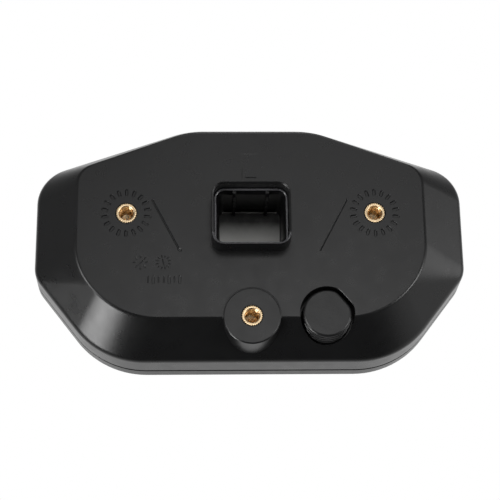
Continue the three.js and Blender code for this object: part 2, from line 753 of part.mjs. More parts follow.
// Height of the middle of the telltale columns.
function columnZ() {
  return (TELLTALE_Z[0] + TELLTALE_Z.at(-1)) / 2;
}

// The ribbon from the back of the display through the board's slot, by its bends in height and depth.
function displayFlex() {
  const displayY = DISPLAY_BACK_Y + FLEX_DISPLAY_RISE;
  const boardY = BOARD_BACK_Y + FLEX_BOARD_RISE;
  const [, connectorZ] = FLEX_CONNECTOR.place;
  const [, connectorHeight] = FLEX_CONNECTOR.size;
  const bends = [
    [FLEX_SLOT_Z - FLEX_TAIL, displayY],
    [FLEX_SLOT_Z - FLEX_BEND, displayY],
    [FLEX_SLOT_Z, BOARD_FRONT_Y - 2 * REST_GAP],
    [FLEX_SLOT_Z, BOARD_BACK_Y + FLEX_THICKNESS],
    [FLEX_SLOT_Z + FLEX_BEND, boardY],
    [connectorZ - connectorHeight / 2 - FLEX_THICKNESS, boardY],
  ];
  const right = bends.map(([z, y]) => new THREE.Vector2(y, z + FLEX_THICKNESS / 2));
  const left = bends.map(([z, y]) => new THREE.Vector2(y + FLEX_THICKNESS, z)).reverse();
  const section = new THREE.Shape([...right, ...left]);
  const ribbon = new THREE.ExtrudeGeometry(section, { depth: FLEX_WIDTH, bevelEnabled: false, steps: 1 });
  const depthHeightWidth = new THREE.Matrix4().set(0, 0, 1, 0, 1, 0, 0, 0, 0, 1, 0, 0, 0, 0, 0, 1);
  ribbon.applyMatrix4(depthHeightWidth);
  ribbon.translate(FLEX_X - FLEX_WIDTH / 2, 0, 0);
  return solid(ribbon);
}

// The plate that holds the display, the light guides and the board, open wherever something looks through.
function displayCarrier() {
  const outer = outline(CHAMFER_FOOT, draftAt(SEAM_Y) - CARRIER_INSET);
  const [barWidth, barHeight] = GUIDE_BAR;
  const [boardThread] = BOARD_SCREW;
  const [thread, head, headHeight] = CARRIER_SCREW;
  const windows = [moduleOutline(-FIT_GAP)];
  [-TELLTALE_X, TELLTALE_X].forEach((x) => {
    windows.push(rectangle(barWidth + 2 * FIT_GAP, barHeight + 2 * FIT_GAP, x, columnZ()));
  });
  buttonPlaces().forEach(({ x }) => {
    const width = SWITCH_BODY + 2 * SWITCH_MARGIN;
    windows.push(rectangle(width, SWITCH_BODY + 2 * FIT_GAP, x, BUTTON_Z));
  });
  const sensorWindow = SENSOR_SIZE + 2 * SENSOR_MARGIN;
  windows.push(rectangle(sensorWindow, sensorWindow, 0, SENSOR_Z));
  BOARD_SCREWS.forEach(([x, z]) => windows.push(circle(boardThread + FIT_GAP, x, z, SMALL_ROUND)));
  CARRIER_SCREWS.forEach(([x, z]) => windows.push(circle(thread + FIT_GAP, x, z, SMALL_ROUND)));
  const plate = prism(outer, CARRIER_BACK_Y, DISPLAY_FRONT_Y, windows);
  const seatY = CARRIER_BACK_Y - headHeight - 2 * REST_GAP;
  return CARRIER_SCREWS.reduce((body, [x, z]) => (
    body.subtract(cylinder(head + FIT_GAP, x, z, CARRIER_BACK_Y + OVERSHOOT, seatY, SMALL_ROUND))), plate);
}

function lightGuide(x) {
  const barBack = CARRIER_BACK_Y - REST_GAP;
  const [barWidth, barHeight] = GUIDE_BAR;
  const tipY = LENS_FRONT_Y + LENS_THICKNESS + REST_GAP + MASK_THICKNESS + REST_GAP;
  const bar = prism(rectangle(barWidth, barHeight, x, columnZ()), barBack, barBack - GUIDE_BAR_DEPTH);
  return TELLTALE_Z.reduce((body, z) => (
    body.add(cylinder(TELLTALE_RADIUS - FIT_GAP, x, z, barBack - OVERSHOOT, tipY, SMALL_ROUND))), bar);
}

// ---------- main board ----------

function mainBoard() {
  const [thread] = BOARD_SCREW;
  const holes = pinPlaces().map(pinHole);
  holes.push(rectangle(...FLEX_SLOT, FLEX_X, FLEX_SLOT_Z));
  BOARD_SCREWS.forEach(([x, z]) => holes.push(circle(thread + FIT_GAP, x, z, SMALL_ROUND)));
  return prism(outline(CHAMFER_FOOT, draftAt(SEAM_Y) - BOARD_INSET), BOARD_BACK_Y, BOARD_FRONT_Y, holes);
}

// A box that stands on the back of the board.
function boardBox({ size: [width, height, rise], place: [x, z] }) {
  const footY = BOARD_BACK_Y + REST_GAP;
  return prism(rectangle(width, height, x, z), footY + rise, footY);
}

function boardCan(radius, rise, [x, z]) {
  const footY = BOARD_BACK_Y + REST_GAP;
  return cylinder(radius, x, z, footY + rise, footY);
}

function buzzer() {
  const [x, z] = BUZZER_PLACE;
  const topY = BOARD_BACK_Y + REST_GAP + BUZZER_RISE;
  const floorY = topY - BUZZER_HOLE_DEPTH;
  const hole = cylinder(BUZZER_HOLE_RADIUS, x, z, topY + OVERSHOOT, floorY, SMALL_ROUND);
  return boardCan(BUZZER_RADIUS, BUZZER_RISE, BUZZER_PLACE).subtract(hole);
}

function lightSensor() {
  const footY = BOARD_FRONT_Y - REST_GAP;
  return prism(rectangle(SENSOR_SIZE, SENSOR_SIZE, 0, SENSOR_Z), footY, footY - SENSOR_HEIGHT);
}

// ---------- buttons ----------

function pushButton(x) {
  const flangeBack = BUTTON_FLANGE_Y + BUTTON_FLANGE_THICKNESS;
  const cap = prism(pill(BUTTON_CAP, x, BUTTON_Z), flangeBack, BUTTON_FRONT_Y);
  const flange = prism(pill(BUTTON_FLANGE, x, BUTTON_Z), flangeBack, BUTTON_FLANGE_Y);
  const stemFootY = flangeBack - OVERSHOOT;
  const stem = cylinder(BUTTON_STEM_RADIUS, x, BUTTON_Z, BUTTON_STEM_END_Y, stemFootY);
  return cap.add(flange).add(stem);
}

function buttonBoot(x) {
  const hole = circle(BUTTON_STEM_RADIUS + FIT_GAP, x, BUTTON_Z);
  const backY = GUIDE_END_Y - REST_GAP;
  return ring(pill(BUTTON_FLANGE, x, BUTTON_Z), hole, backY, backY - BOOT_THICKNESS);
}

function tactSwitch(x) {
  const footY = BOARD_FRONT_Y - REST_GAP;
  const [plungerRadius, plungerRise] = SWITCH_PLUNGER;
  const body = prism(rectangle(SWITCH_BODY, SWITCH_BODY, x, BUTTON_Z), footY, footY - SWITCH_HEIGHT);
  const plungerEnd = footY - SWITCH_HEIGHT - plungerRise;
  const plungerFoot = footY - OVERSHOOT;
  return body.add(cylinder(plungerRadius, x, BUTTON_Z, plungerFoot, plungerEnd, SMALL_ROUND));
}

// ---------- screws ----------

function panScrew([thread, head, headHeight], length, x, z, seatY) {
  return turned([
    [0, seatY + headHeight],
    [head - SCREW_HEAD_EDGE, seatY + headHeight],
    [head, seatY + headHeight / 2],
    [head, seatY],
    [thread, seatY],
    [thread, seatY - length + thread],
    [0, seatY - length],
  ], x, z, SMALL_ROUND);
}

// ---------- assembly ----------

addPart('rear_case', rearCase(), MATERIAL.casePlastic);
addPart('front_bezel', frontBezel(), MATERIAL.bezelPlastic);
addPart('case_gasket', caseGasket(), MATERIAL.rubber);
insertPlaces().forEach((place) => addPart(place.name, brassInsert(place), MATERIAL.brass));

addPart('connector_header', connectorHeader(), MATERIAL.innerPlastic);
addPart('connector_wafer', connectorWafer(), MATERIAL.wafer);
pinPlaces().forEach((place) => addPart(place.name, connectorPin(place), MATERIAL.tin));

addPart('vent_cap', ventCap(), MATERIAL.casePlastic);
addPart('vent_body', ventBody(), MATERIAL.innerPlastic);
addPart('vent_seal', ventSeal(), MATERIAL.rubber);
addPart('vent_membrane', ventMembrane(), MATERIAL.membrane);

addPart('lens', lens(), MATERIAL.lens);
addPart('lens_seal', lensSeal(), MATERIAL.rubber);
addPart('mask_panel', maskPanel(), MATERIAL.mask);
addPart('display_can', displayCan(), MATERIAL.steel);
addPart('display_glass', displayGlass(), MATERIAL.display);
addPart('display_backlight', displayBacklight(), MATERIAL.backlight);
addPart('display_flex', displayFlex(), MATERIAL.flex);
addPart('display_carrier', displayCarrier(), MATERIAL.innerPlastic);
addPart('light_guide_left', lightGuide(-TELLTALE_X), MATERIAL.guide);
addPart('light_guide_right', lightGuide(TELLTALE_X), MATERIAL.guide);

addPart('main_board', mainBoard(), MATERIAL.board);
addPart('flex_connector', boardBox(FLEX_CONNECTOR), MATERIAL.wafer);
addPart('processor', boardBox(PROCESSOR), MATERIAL.chip);
addPart('memory_chip', boardBox(MEMORY_CHIP), MATERIAL.chip);
addPart('bus_transceiver', boardBox(BUS_TRANSCEIVER), MATERIAL.chip);
addPart('power_inductor', boardBox(POWER_INDUCTOR), MATERIAL.chip);
CAPACITOR_PLACES.forEach((place, index) => {
  const capacitor = boardCan(CAPACITOR_RADIUS, CAPACITOR_RISE, place);
  addPart(`capacitor_${index + 1}`, capacitor, MATERIAL.steel);
});
addPart('buzzer', buzzer(), MATERIAL.chip);
addPart('light_sensor', lightSensor(), MATERIAL.chip);

buttonPlaces().forEach(({ side, x }) => {
  addPart(`button_${side}`, pushButton(x), MATERIAL.rubber);
  addPart(`button_boot_${side}`, buttonBoot(x), MATERIAL.rubber);
  addPart(`tact_switch_${side}`, tactSwitch(x), MATERIAL.steel);
});

BOARD_SCREWS.forEach(([x, z], index) => {
  const seatY = BOARD_BACK_Y + REST_GAP;
  const screw = panScrew(BOARD_SCREW, BOARD_SCREW_LENGTH, x, z, seatY);
  addPart(`board_screw_${index + 1}`, screw, MATERIAL.steel);
});
CARRIER_SCREWS.forEach(([x, z], index) => {
  const seatY = CARRIER_BACK_Y - CARRIER_SCREW[2] - REST_GAP;
  const screw = panScrew(CARRIER_SCREW, CARRIER_SCREW_LENGTH, x, z, seatY);
  addPart(`carrier_screw_${index + 1}`, screw, MATERIAL.steel);
});

export default group;
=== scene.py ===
"""Looks for a motorcycle instrument cluster, round its CAD frame.

Shapes are drawn in millimetres in the frame of the part: the flat back face is the plane y = 0, +Z is up as
mounted, the display faces -Y, and -X is the rider's left. Outlines are (x, z) points, sections (outline, y).
"""
import math

import bmesh
import bpy
import numpy as np
from mathutils import Matrix, Vector
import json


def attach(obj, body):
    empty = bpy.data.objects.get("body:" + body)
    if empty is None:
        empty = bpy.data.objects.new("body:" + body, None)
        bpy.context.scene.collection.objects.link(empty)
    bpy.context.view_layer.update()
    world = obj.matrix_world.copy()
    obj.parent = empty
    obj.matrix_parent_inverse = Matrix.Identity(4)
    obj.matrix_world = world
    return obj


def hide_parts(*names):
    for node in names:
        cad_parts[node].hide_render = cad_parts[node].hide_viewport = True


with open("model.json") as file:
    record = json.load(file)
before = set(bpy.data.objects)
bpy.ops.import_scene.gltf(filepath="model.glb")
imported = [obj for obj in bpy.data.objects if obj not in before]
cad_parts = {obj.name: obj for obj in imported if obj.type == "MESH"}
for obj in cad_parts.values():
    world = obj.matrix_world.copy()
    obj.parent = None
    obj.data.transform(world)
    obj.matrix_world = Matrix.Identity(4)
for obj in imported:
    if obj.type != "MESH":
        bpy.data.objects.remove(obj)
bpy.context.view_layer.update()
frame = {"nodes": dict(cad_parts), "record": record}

MM = 0.001
BODY = "cluster"

# ---------- driving dimensions, as in the CAD ----------

# Corners from the top down on the +X side: half-width, height, corner radius. The lower corners of the back
# face are a little rounder than in the CAD.
BACK_FACE = [(25, 55.5, 30), (68.7, 39.5, 9), (68.7, -2.3, 29), (50.6, -21.7, 34)]
CHAMFER_FOOT = [(25.2, 61.9, 40), (86, 41, 15), (86, -0.5, 11), (58.7, -35.6, 35)]
LENS = [(24, 57.1, 30), (81.2, 37.6, 10), (81.2, 1.2, 8), (63.6, -21.5, 8)]
CORNER_STEPS = 14
SMALLEST_RADIUS = 0.5

FOOT_Y = -14.4
SEAM_Y = -26.6
SEAM_GAP = 1.0  # wider than in the CAD, so that the joint shows as a dark line
FRONT_Y = -34.5
WALL = 2.5
SHARP_EDGE = 0.3  # how far the edges at the joint and at the lens are broken
DRAFT = math.tan(math.radians(2.5))

INSERTS = {
    "insert_upper_left": (-49, 0.0, 21),
    "insert_upper_right": (49, 0.0, 21),
    "insert_lower": (0, 0.3, -21),
}
INSERT_RADIUS = 4.2
INSERT_BORE = 2.6
INSERT_LENGTH = 11
INSERT_FIT = 0.12
BOSS_RADIUS = 6.8
BOSS_END_Y = -14
LOWER_BOSS_RADIUS = 11.15
LOWER_BOSS_DRAFT = 0.95
LOWER_BOSS_END_Y = -13.9

COLLAR = (31, 25.9)
COLLAR_RADIUS = 5
COLLAR_WALL = 0.9
COLLAR_Z = 18.1
COLLAR_TOP_Y = 9
COLLAR_FOOT_Y = -6
HEADER_MOUTH_Y = 3.5
HEADER_FLOOR_Y = -19.8
HEADER_END_Y = -21.8
HEADER_INSET = 1.05
HEADER_WALL = 1.9
KEY_RIB_X = 6.5
KEY_RIB = (1.3, 2.4, 0.35)

VENT = (-29.15, -19.95)
VENT_POCKET = (10.6, 9.9)
VENT_POCKET_Y = -11.2
VENT_CAP = (9.4, 8.6)
VENT_CAP_Y = (-0.2, -8.9)
VENT_CAP_HOLLOW = (6.9, -2.6)
VENT_CUP_RADIUS = 12.2
VENT_FLAT_ANGLE = math.radians(140)
VENT_CORNER = 4.0  # the higher, the sharper the corners at the ends of the flat
NO_FLAT = 99

BUTTON_X = 24
BUTTON_Z = -28.6
BUTTON_CAP = (13.6, 5.2)
BUTTON_FRONT_Y = -35.6
BUTTON_STEM = (2.0, -31.9, -28.3)

LENS_Y = (-31.9, -34.1)
LENS_SHELF_Y = -31.1
GUIDE_TIP_Y = -31.2
SCREEN_Y = -28.82
TELLTALE_X = 70
TELLTALE_Z = (35, 26.5, 18)


# ---------- outlines ----------

def offset_corner(before, corner, after, distance):
    """The corner moved out so that both of its sides move out by the distance."""
    into = (corner - before) / np.linalg.norm(corner - before)
    away = (after - corner) / np.linalg.norm(after - corner)
    normal_in = np.array([-into[1], into[0]])
    normal_away = np.array([-away[1], away[0]])
    bisector = normal_in + normal_away
    bisector /= np.linalg.norm(bisector)
    return corner + bisector * distance / bisector.dot(normal_in)


def outline(half, distance=0.0):
    """Rounded points of a mirrored corner list, grown by the distance, clockwise seen from the back."""
    corners = list(half) + [(-x, z, r) for x, z, r in reversed(half)]
    places = [np.array(c[:2], float) for c in corners]
    count = len(corners)
    grown = [offset_corner(places[i - 1], places[i], places[(i + 1) % count], distance)
             for i in range(count)]
    points = []
    for i in range(count):
        radius = max(corners[i][2] + distance, SMALLEST_RADIUS)
        before = grown[i - 1] - grown[i]
        after = grown[(i + 1) % count] - grown[i]
        before /= np.linalg.norm(before)
        after /= np.linalg.norm(after)
        half_angle = math.acos(np.clip(before.dot(after), -1, 1)) / 2
        middle = (before + after) / np.linalg.norm(before + after)
        centre = grown[i] + middle * radius / math.sin(half_angle)
        start = grown[i] + before * radius / math.tan(half_angle) - centre
        sweep = math.pi - 2 * half_angle
        for step in range(CORNER_STEPS + 1):
            turn = -sweep * step / CORNER_STEPS
            cos, sin = math.cos(turn), math.sin(turn)
            x, z = start
            points.append(centre + np.array([cos * x - sin * z, sin * x + cos * z]))
    return np.array(points)


def rounded_rectangle(width, height, radius, centre=(0, 0), steps=8):
    points = []
    for side_x, side_z, start in ((1, 1, 90), (1, -1, 0), (-1, -1, -90), (-1, 1, 180)):
        for step in range(steps + 1):
            angle = math.radians(start - 90 * step / steps)
            points.append((centre[0] + side_x * (width / 2 - radius) + radius * math.cos(angle),
                           centre[1] + side_z * (height / 2 - radius) + radius * math.sin(angle)))
    return np.array(points)


def clockwise(facets):
    return -2 * math.pi * np.arange(facets) / facets


def round_outline(radii, centre, angles):
    """Points at these angles round a centre, at one radius or at one for each angle."""
    return np.column_stack([centre[0] + radii * np.cos(angles), centre[1] + radii * np.sin(angles)])


def flattened_disc(radius, flat, inset=0.0, facets=144):
    """A disc with one flat side, the outline of the vent's cap and of its pocket."""
    angles = clockwise(facets)
    reach = np.cos(angles - VENT_FLAT_ANGLE)
    facing = 0.2
    to_flat = np.where(reach > facing, (flat - inset) / np.maximum(reach, facing), 1e3)
    past_flat = VENT_CORNER * np.clip(radius - inset - to_flat, -50, 50)
    return round_outline(radius - inset - np.logaddexp(0, past_flat) / VENT_CORNER, VENT, angles)


# ---------- meshes ----------

def new_object(name, vertices, faces):
    mesh = bpy.data.meshes.new(name)
    mesh.from_pydata([tuple(np.array(v) * MM) for v in vertices], [], faces)
    mesh.validate()
    mesh.update()
    made = bpy.data.objects.new(name, mesh)
    bpy.context.scene.collection.objects.link(made)
    return made


def loft(name, sections, closed=False):
    """A skin through (outline, y) sections. It ends in flat caps, or joins end to end when closed."""
    count = len(sections[0][0])
    vertices = [(p[0], y, p[1]) for points, y in sections for p in points]
    faces = []
    levels = len(sections)
    for level in range(levels if closed else levels - 1):
        near = level * count
        far = (level + 1) % levels * count
        for i in range(count):
            j = (i + 1) % count
            faces.append((near + i, far + i, far + j, near + j))
    if not closed:
        faces.append(tuple(range(count)))
        last = (levels - 1) * count
        faces.append(tuple(last + i for i in reversed(range(count))))
    made = new_object(name, vertices, faces)
    skin = bmesh.new()
    skin.from_mesh(made.data)
    if skin.calc_volume(signed=True) < 0:
        bmesh.ops.reverse_faces(skin, faces=skin.faces)
        skin.to_mesh(made.data)
    skin.free()
    return made


def turned(name, profile, centre, facets=96):
    """A solid of revolution about an axis along Y. A profile that starts on the axis is closed by caps."""
    sections = [(round_outline(max(r, 1e-4), centre, clockwise(facets)), y) for r, y in profile]
    return loft(name, sections, closed=profile[0][0] > 0)


def rounded_edge(before, corner, after, steps=4):
    """Sections that turn smoothly from one (outline, y) to another round a corner section."""
    made = []
    for step in range(steps + 1):
        t = step / steps
        weights = ((1 - t) ** 2, 2 * t * (1 - t), t * t)
        points = sum(w * s[0] for w, s in zip(weights, (before, corner, after)))
        y = sum(w * s[1] for w, s in zip(weights, (before, corner, after)))
        made.append((points, y))
    return made


def between(first, second, share):
    """The section a share of the way from the first to the second."""
    return (first[0] * (1 - share) + second[0] * share, first[1] * (1 - share) + second[1] * share)


def apply_modifiers(thing):
    graph = bpy.context.evaluated_depsgraph_get()
    mesh = bpy.data.meshes.new_from_object(thing.evaluated_get(graph))
    thing.modifiers.clear()
    old = thing.data
    thing.data = mesh
    bpy.data.meshes.remove(old)


def remove(thing):
    mesh = thing.data
    bpy.data.objects.remove(thing)
    bpy.data.meshes.remove(mesh)


def boolean(thing, others, operation):
    for other in others:
        modifier = thing.modifiers.new("cut", "BOOLEAN")
        modifier.operation = operation
        modifier.solver = "MANIFOLD"
        modifier.object = other
    bpy.context.view_layer.update()
    apply_modifiers(thing)
    for other in others:
        remove(other)
    return thing


def join(name, things):
    """Several separate solids as one mesh."""
    vertices, faces = [], []
    for thing in things:
        start = len(vertices)
        vertices += [tuple(np.array(v.co) / MM) for v in thing.data.vertices]
        faces += [tuple(start + i for i in p.vertices) for p in thing.data.polygons]
        remove(thing)
    return new_object(name, vertices, faces)


def smooth(thing, angle=32):
    """Soft shading over the curves, while the flats that face the back or the front stay flat."""
    flat = 0.99995
    curved = [abs(polygon.normal.y) < flat for polygon in thing.data.polygons]
    thing.data.polygons.foreach_set("use_smooth", curved)
    thing.data.set_sharp_from_angle(angle=math.radians(angle))
    modifier = thing.modifiers.new("normals", "WEIGHTED_NORMAL")
    modifier.keep_sharp = True
    modifier.weight = 80
    return thing


def paint(thing, material, chosen):
    """Gives the faces that a test picks by centre and normal their own finish."""
    thing.data.materials.append(material)
    for polygon in thing.data.polygons:
        if chosen(polygon.center / MM, polygon.normal):
            polygon.material_index = 1


def inward(centre, normal):
    """How far a face on the connector's rim turns towards the connector's middle."""
    above = centre.z - COLLAR_Z
    return -(centre.x * normal.x + above * normal.z) / math.hypot(centre.x, above)


def put(thing, material, nodes=(), body=BODY):
    """Finishes a piece: its material, the CAD nodes it stands for and its body."""
    thing.data.materials.clear()
    thing.data.materials.append(material)
    if nodes:
        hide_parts(*nodes)
    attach(thing, body)
    return thing


# ---------- materials ----------

def new_material(name):
    material = bpy.data.materials.new(name)
    material.use_nodes = True
    tree = material.node_tree
    return material, tree, tree.nodes["Principled BSDF"]


def object_coordinates(tree):
    coordinates = tree.nodes.get("coordinates") or tree.nodes.new("ShaderNodeTexCoord")
    coordinates.name = "coordinates"
    return coordinates.outputs["Object"]


def noise(tree, scale, detail=3.0, roughness=0.5):
    """Noise in the part's own coordinates, scale in features per metre."""
    texture = tree.nodes.new("ShaderNodeTexNoise")
    texture.inputs["Scale"].default_value = scale
    texture.inputs["Detail"].default_value = detail
    texture.inputs["Roughness"].default_value = roughness
    tree.links.new(object_coordinates(tree), texture.inputs["Vector"])
    return texture.outputs["Fac"]


def ramp(tree, value, low, high, low_out, high_out, kind="LINEAR"):
    """The value mapped from one range to another."""
    node = tree.nodes.new("ShaderNodeMapRange")
    node.interpolation_type = kind
    for name, number in zip(("From Min", "From Max", "To Min", "To Max"), (low, high, low_out, high_out)):
        node.inputs[name].default_value = number
    tree.links.new(value, node.inputs["Value"])
    return node.outputs["Result"]


def add_values(tree, first, second):
    node = tree.nodes.new("ShaderNodeMath")
    tree.links.new(first, node.inputs[0])
    tree.links.new(second, node.inputs[1])
    return node.outputs["Value"]


def scaled(tone, factor):
    return [min(1, channel * factor) for channel in tone]


def two_tones(tree, value, dark, light):
    node = tree.nodes.new("ShaderNodeMix")
    node.data_type = "RGBA"
    node.inputs["A"].default_value = (*dark, 1)
    node.inputs["B"].default_value = (*light, 1)
    tree.links.new(value, node.inputs["Factor"])
    return node.outputs["Result"]


def add_bump(tree, shader, heights):
    """Stacks bumps given as (height output, depth in metres, strength)."""
    normal = None
    for height, distance, strength in heights:
        node = tree.nodes.new("ShaderNodeBump")
        node.inputs["Distance"].default_value = distance
        node.inputs["Strength"].default_value = strength
        tree.links.new(height, node.inputs["Height"])
        if normal:
            tree.links.new(normal, node.inputs["Normal"])
        normal = node.outputs["Normal"]
    tree.links.new(normal, shader.inputs["Normal"])


def uneven(tree, cloud, low_out, high_out):
    """A cloud's useful middle range spread over the output range."""
    return ramp(tree, cloud, 0.3, 0.7, low_out, high_out)


def moulded_plastic(name, tone, roughness, grain=2600, grain_depth=0.00002, spread=0.12, gleam=0.5):
    """Moulded plastic with a fine spark-eroded grain, faint flow marks, light scuffs and uneven gloss."""
    material, tree, shader = new_material(name)
    shader.inputs["Specular IOR Level"].default_value = gleam
    flow = ramp(tree, noise(tree, 28, 4, 0.55), 0.35, 0.65, 0, 1)
    cloud = noise(tree, 170, 2)
    grit = noise(tree, grain, 2, 0.6)
    coarse = noise(tree, grain / 3, 3, 0.6)
    scuffs = ramp(tree, noise(tree, 90, 6, 0.7), 0.55, 0.8, 0, 0.025)
    tones = two_tones(tree, flow, scaled(tone, 1 - spread), scaled(tone, 1 + spread))
    tree.links.new(tones, shader.inputs["Base Color"])
    gloss = add_values(tree, uneven(tree, cloud, roughness - 0.025, roughness + 0.025), scuffs)
    tree.links.new(gloss, shader.inputs["Roughness"])
    add_bump(tree, shader, [(grit, grain_depth, 0.55), (coarse, grain_depth * 1.5, 0.25)])
    return material


def rubber(name, tone, roughness):
    material, tree, shader = new_material(name)
    cloud = noise(tree, 240)
    grit = noise(tree, 3500, 2)
    tree.links.new(two_tones(tree, cloud, scaled(tone, 0.85), scaled(tone, 1.2)), shader.inputs["Base Color"])
    tree.links.new(uneven(tree, cloud, roughness - 0.05, roughness + 0.05), shader.inputs["Roughness"])
    add_bump(tree, shader, [(grit, 0.00001, 0.5)])
    return material


def machined_metal(name, tone, roughness):
    material, tree, shader = new_material(name)
    cloud = noise(tree, 600, 4)
    grit = noise(tree, 5000, 2)
    shader.inputs["Metallic"].default_value = 1.0
    tree.links.new(two_tones(tree, cloud, scaled(tone, 0.9), scaled(tone, 1.1)), shader.inputs["Base Color"])
    tree.links.new(uneven(tree, cloud, roughness - 0.06, roughness + 0.08), shader.inputs["Roughness"])
    add_bump(tree, shader, [(grit, 0.000006, 0.4)])
    return material


def pale_plate(name, tone):
    """The pale insulating plate, with painted shade: darkened towards its upper end under the far wall, at
    full tone at its open lower end.
    """
    # painted shade: the colour darkens from the lower height up to the upper one, where the far wall shades
    # the plate
    unshaded_below, shaded_above = 0.0163, 0.0240
    material, tree, shader = new_material(name)
    separate = tree.nodes.new("ShaderNodeSeparateXYZ")
    tree.links.new(object_coordinates(tree), separate.inputs["Vector"])
    cloud = noise(tree, 300)
    painted_shade = ramp(tree, separate.outputs["Z"], unshaded_below, shaded_above, 0, 1)
    shade_and_patches = add_values(tree, painted_shade, uneven(tree, cloud, -0.04, 0.04))
    tree.links.new(two_tones(tree, shade_and_patches, tone, scaled(tone, 0.05)), shader.inputs["Base Color"])
    tree.links.new(uneven(tree, cloud, 0.5, 0.62), shader.inputs["Roughness"])
    add_bump(tree, shader, [(noise(tree, 3000, 2), 0.00001, 0.4)])
    return material


def clear_plastic(name, tint, haze, gloss):
    """Clear plastic: a straight view through, and a hard coat with the reflections and faint smears."""
    material, tree, shader = new_material(name)
    cloud = noise(tree, 60, 5, 0.7)
    shader.inputs["Transmission Weight"].default_value = 1.0
    shader.inputs["IOR"].default_value = 1.0
    shader.inputs["Roughness"].default_value = haze
    shader.inputs["Coat Weight"].default_value = 1.0
    shader.inputs["Coat IOR"].default_value = 1.4
    tree.links.new(two_tones(tree, cloud, scaled(tint, 0.97), tint), shader.inputs["Base Color"])
    tree.links.new(ramp(tree, cloud, 0.45, 0.75, gloss, gloss * 1.5), shader.inputs["Coat Roughness"])
    add_bump(tree, shader, [(noise(tree, 40, 2), 0.000002, 0.02)])
    return material


def screen_light(name, tone, strength):
    """A lit part of the display, slightly uneven as a backlight is."""
    material, tree, shader = new_material(name)
    shader.inputs["Base Color"].default_value = (0.01, 0.01, 0.01, 1)
    shader.inputs["Roughness"].default_value = 0.4
    cloud = noise(tree, 90, 2)
    tree.links.new(two_tones(tree, cloud, scaled(tone, 0.9), tone), shader.inputs["Emission Color"])
    shader.inputs["Emission Strength"].default_value = strength
    return material


CASE_BLACK = (0.0060, 0.0061, 0.0064)
# a lighter grey for the painted highlight on the connector's rims
RIM_HIGHLIGHT_GREY = (0.10, 0.10, 0.106)
MASK = {"grain": 300, "grain_depth": 0.000001}

MATERIALS = {
    "case_plastic": moulded_plastic("case_plastic", CASE_BLACK, 0.29),
    "bezel_plastic": moulded_plastic("bezel_plastic", CASE_BLACK, 0.30),
    "connector_plastic": moulded_plastic("connector_plastic", (0.0045, 0.0045, 0.0050), 0.33, grain=4000),
    # painted highlight on the rims of the collar and the header
    "rim_painted_highlight": moulded_plastic("rim_painted_highlight", RIM_HIGHLIGHT_GREY, 0.24),
    "cap_plastic": moulded_plastic("cap_plastic", (0.0075, 0.0076, 0.0078), 0.33, 900, 0.00006, spread=0.35),
    # the pale plate, whose colour carries a painted shade towards its top
    "wafer_plastic": pale_plate("wafer_plastic", (0.80, 0.80, 0.77)),
    "wafer_edge": moulded_plastic("wafer_edge", (0.5, 0.5, 0.48), 0.5),
    "seal_rubber": rubber("seal_rubber", (0.015, 0.015, 0.016), 0.75),
    "button_rubber": rubber("button_rubber", (0.03, 0.03, 0.032), 0.62),
    "brass": machined_metal("brass", (0.90, 0.68, 0.42), 0.27),
    "tin": machined_metal("tin", (0.75, 0.75, 0.76), 0.3),
    "steel": machined_metal("steel", (0.58, 0.59, 0.61), 0.35),
    "can_aluminium": machined_metal("can_aluminium", (0.80, 0.80, 0.81), 0.32),
    "lens_clear": clear_plastic("lens_clear", (0.93, 0.94, 0.95), haze=0.0, gloss=0.09),
    "guide_clear": clear_plastic("guide_clear", (0.20, 0.21, 0.22), haze=0.4, gloss=0.3),
    "mask_black": moulded_plastic("mask_black", (0.004, 0.004, 0.0045), 0.5, gleam=0.08, **MASK),
    "display_glass": moulded_plastic("display_glass", (0.0045, 0.0052, 0.0065), 0.5, gleam=0.1, **MASK),
    "backlight_white": moulded_plastic("backlight_white", (0.75, 0.75, 0.74), 0.5, spread=0.03),
    "flex_amber": moulded_plastic("flex_amber", (0.40, 0.15, 0.02), 0.35, spread=0.1),
    "board_green": moulded_plastic("board_green", (0.01, 0.06, 0.025), 0.35, spread=0.2),
    "chip_black": moulded_plastic("chip_black", (0.012, 0.012, 0.013), 0.45),
    "membrane": moulded_plastic("membrane", (0.75, 0.75, 0.73), 0.8, spread=0.03),
}

SCREEN = {
    "white": screen_light("screen_white", (0.80, 0.88, 1.0), 0.85),
    "dim": screen_light("screen_dim", (0.30, 0.40, 0.55), 0.45),
    "red": screen_light("screen_red", (1.0, 0.10, 0.04), 0.9),
    "green": screen_light("screen_green", (0.10, 0.85, 0.25), 0.8),
    "amber": screen_light("screen_amber", (1.0, 0.45, 0.05), 0.8),
    "blue": screen_light("screen_blue", (0.10, 0.35, 1.0), 0.8),
}


# ---------- rear case ----------

def wall_section(y, inset=0.0):
    """The outside of the drafted side wall at a depth."""
    return (outline(CHAMFER_FOOT, (FOOT_Y - y) * DRAFT - inset), y)


def collar_outline(inset):
    width, height = COLLAR
    return rounded_rectangle(width - 2 * inset, height - 2 * inset, COLLAR_RADIUS - inset, (0, COLLAR_Z))


def case_shell():
    """The outer skin with rounded edges, turned in at the joint and closed by the inner skin."""
    face_edge, slope_end, wall_start, wall_end = 0.05, 0.9, 0.14, 0.975
    face = (outline(BACK_FACE), 0.0)
    foot = wall_section(FOOT_Y)
    seam = wall_section(SEAM_Y)
    sections = rounded_edge((outline(BACK_FACE, -0.7), 0.0), face, between(face, foot, face_edge), 5)
    sections += rounded_edge(between(face, foot, slope_end), foot, between(foot, seam, wall_start), 7)
    sections += rounded_edge(between(foot, seam, wall_end), seam, wall_section(SEAM_Y, SHARP_EDGE))
    sections += [wall_section(SEAM_Y, WALL), wall_section(FOOT_Y - 0.6, WALL)]
    sections.append((outline(BACK_FACE, -1.6), -WALL))
    return loft("rear_shell", sections)


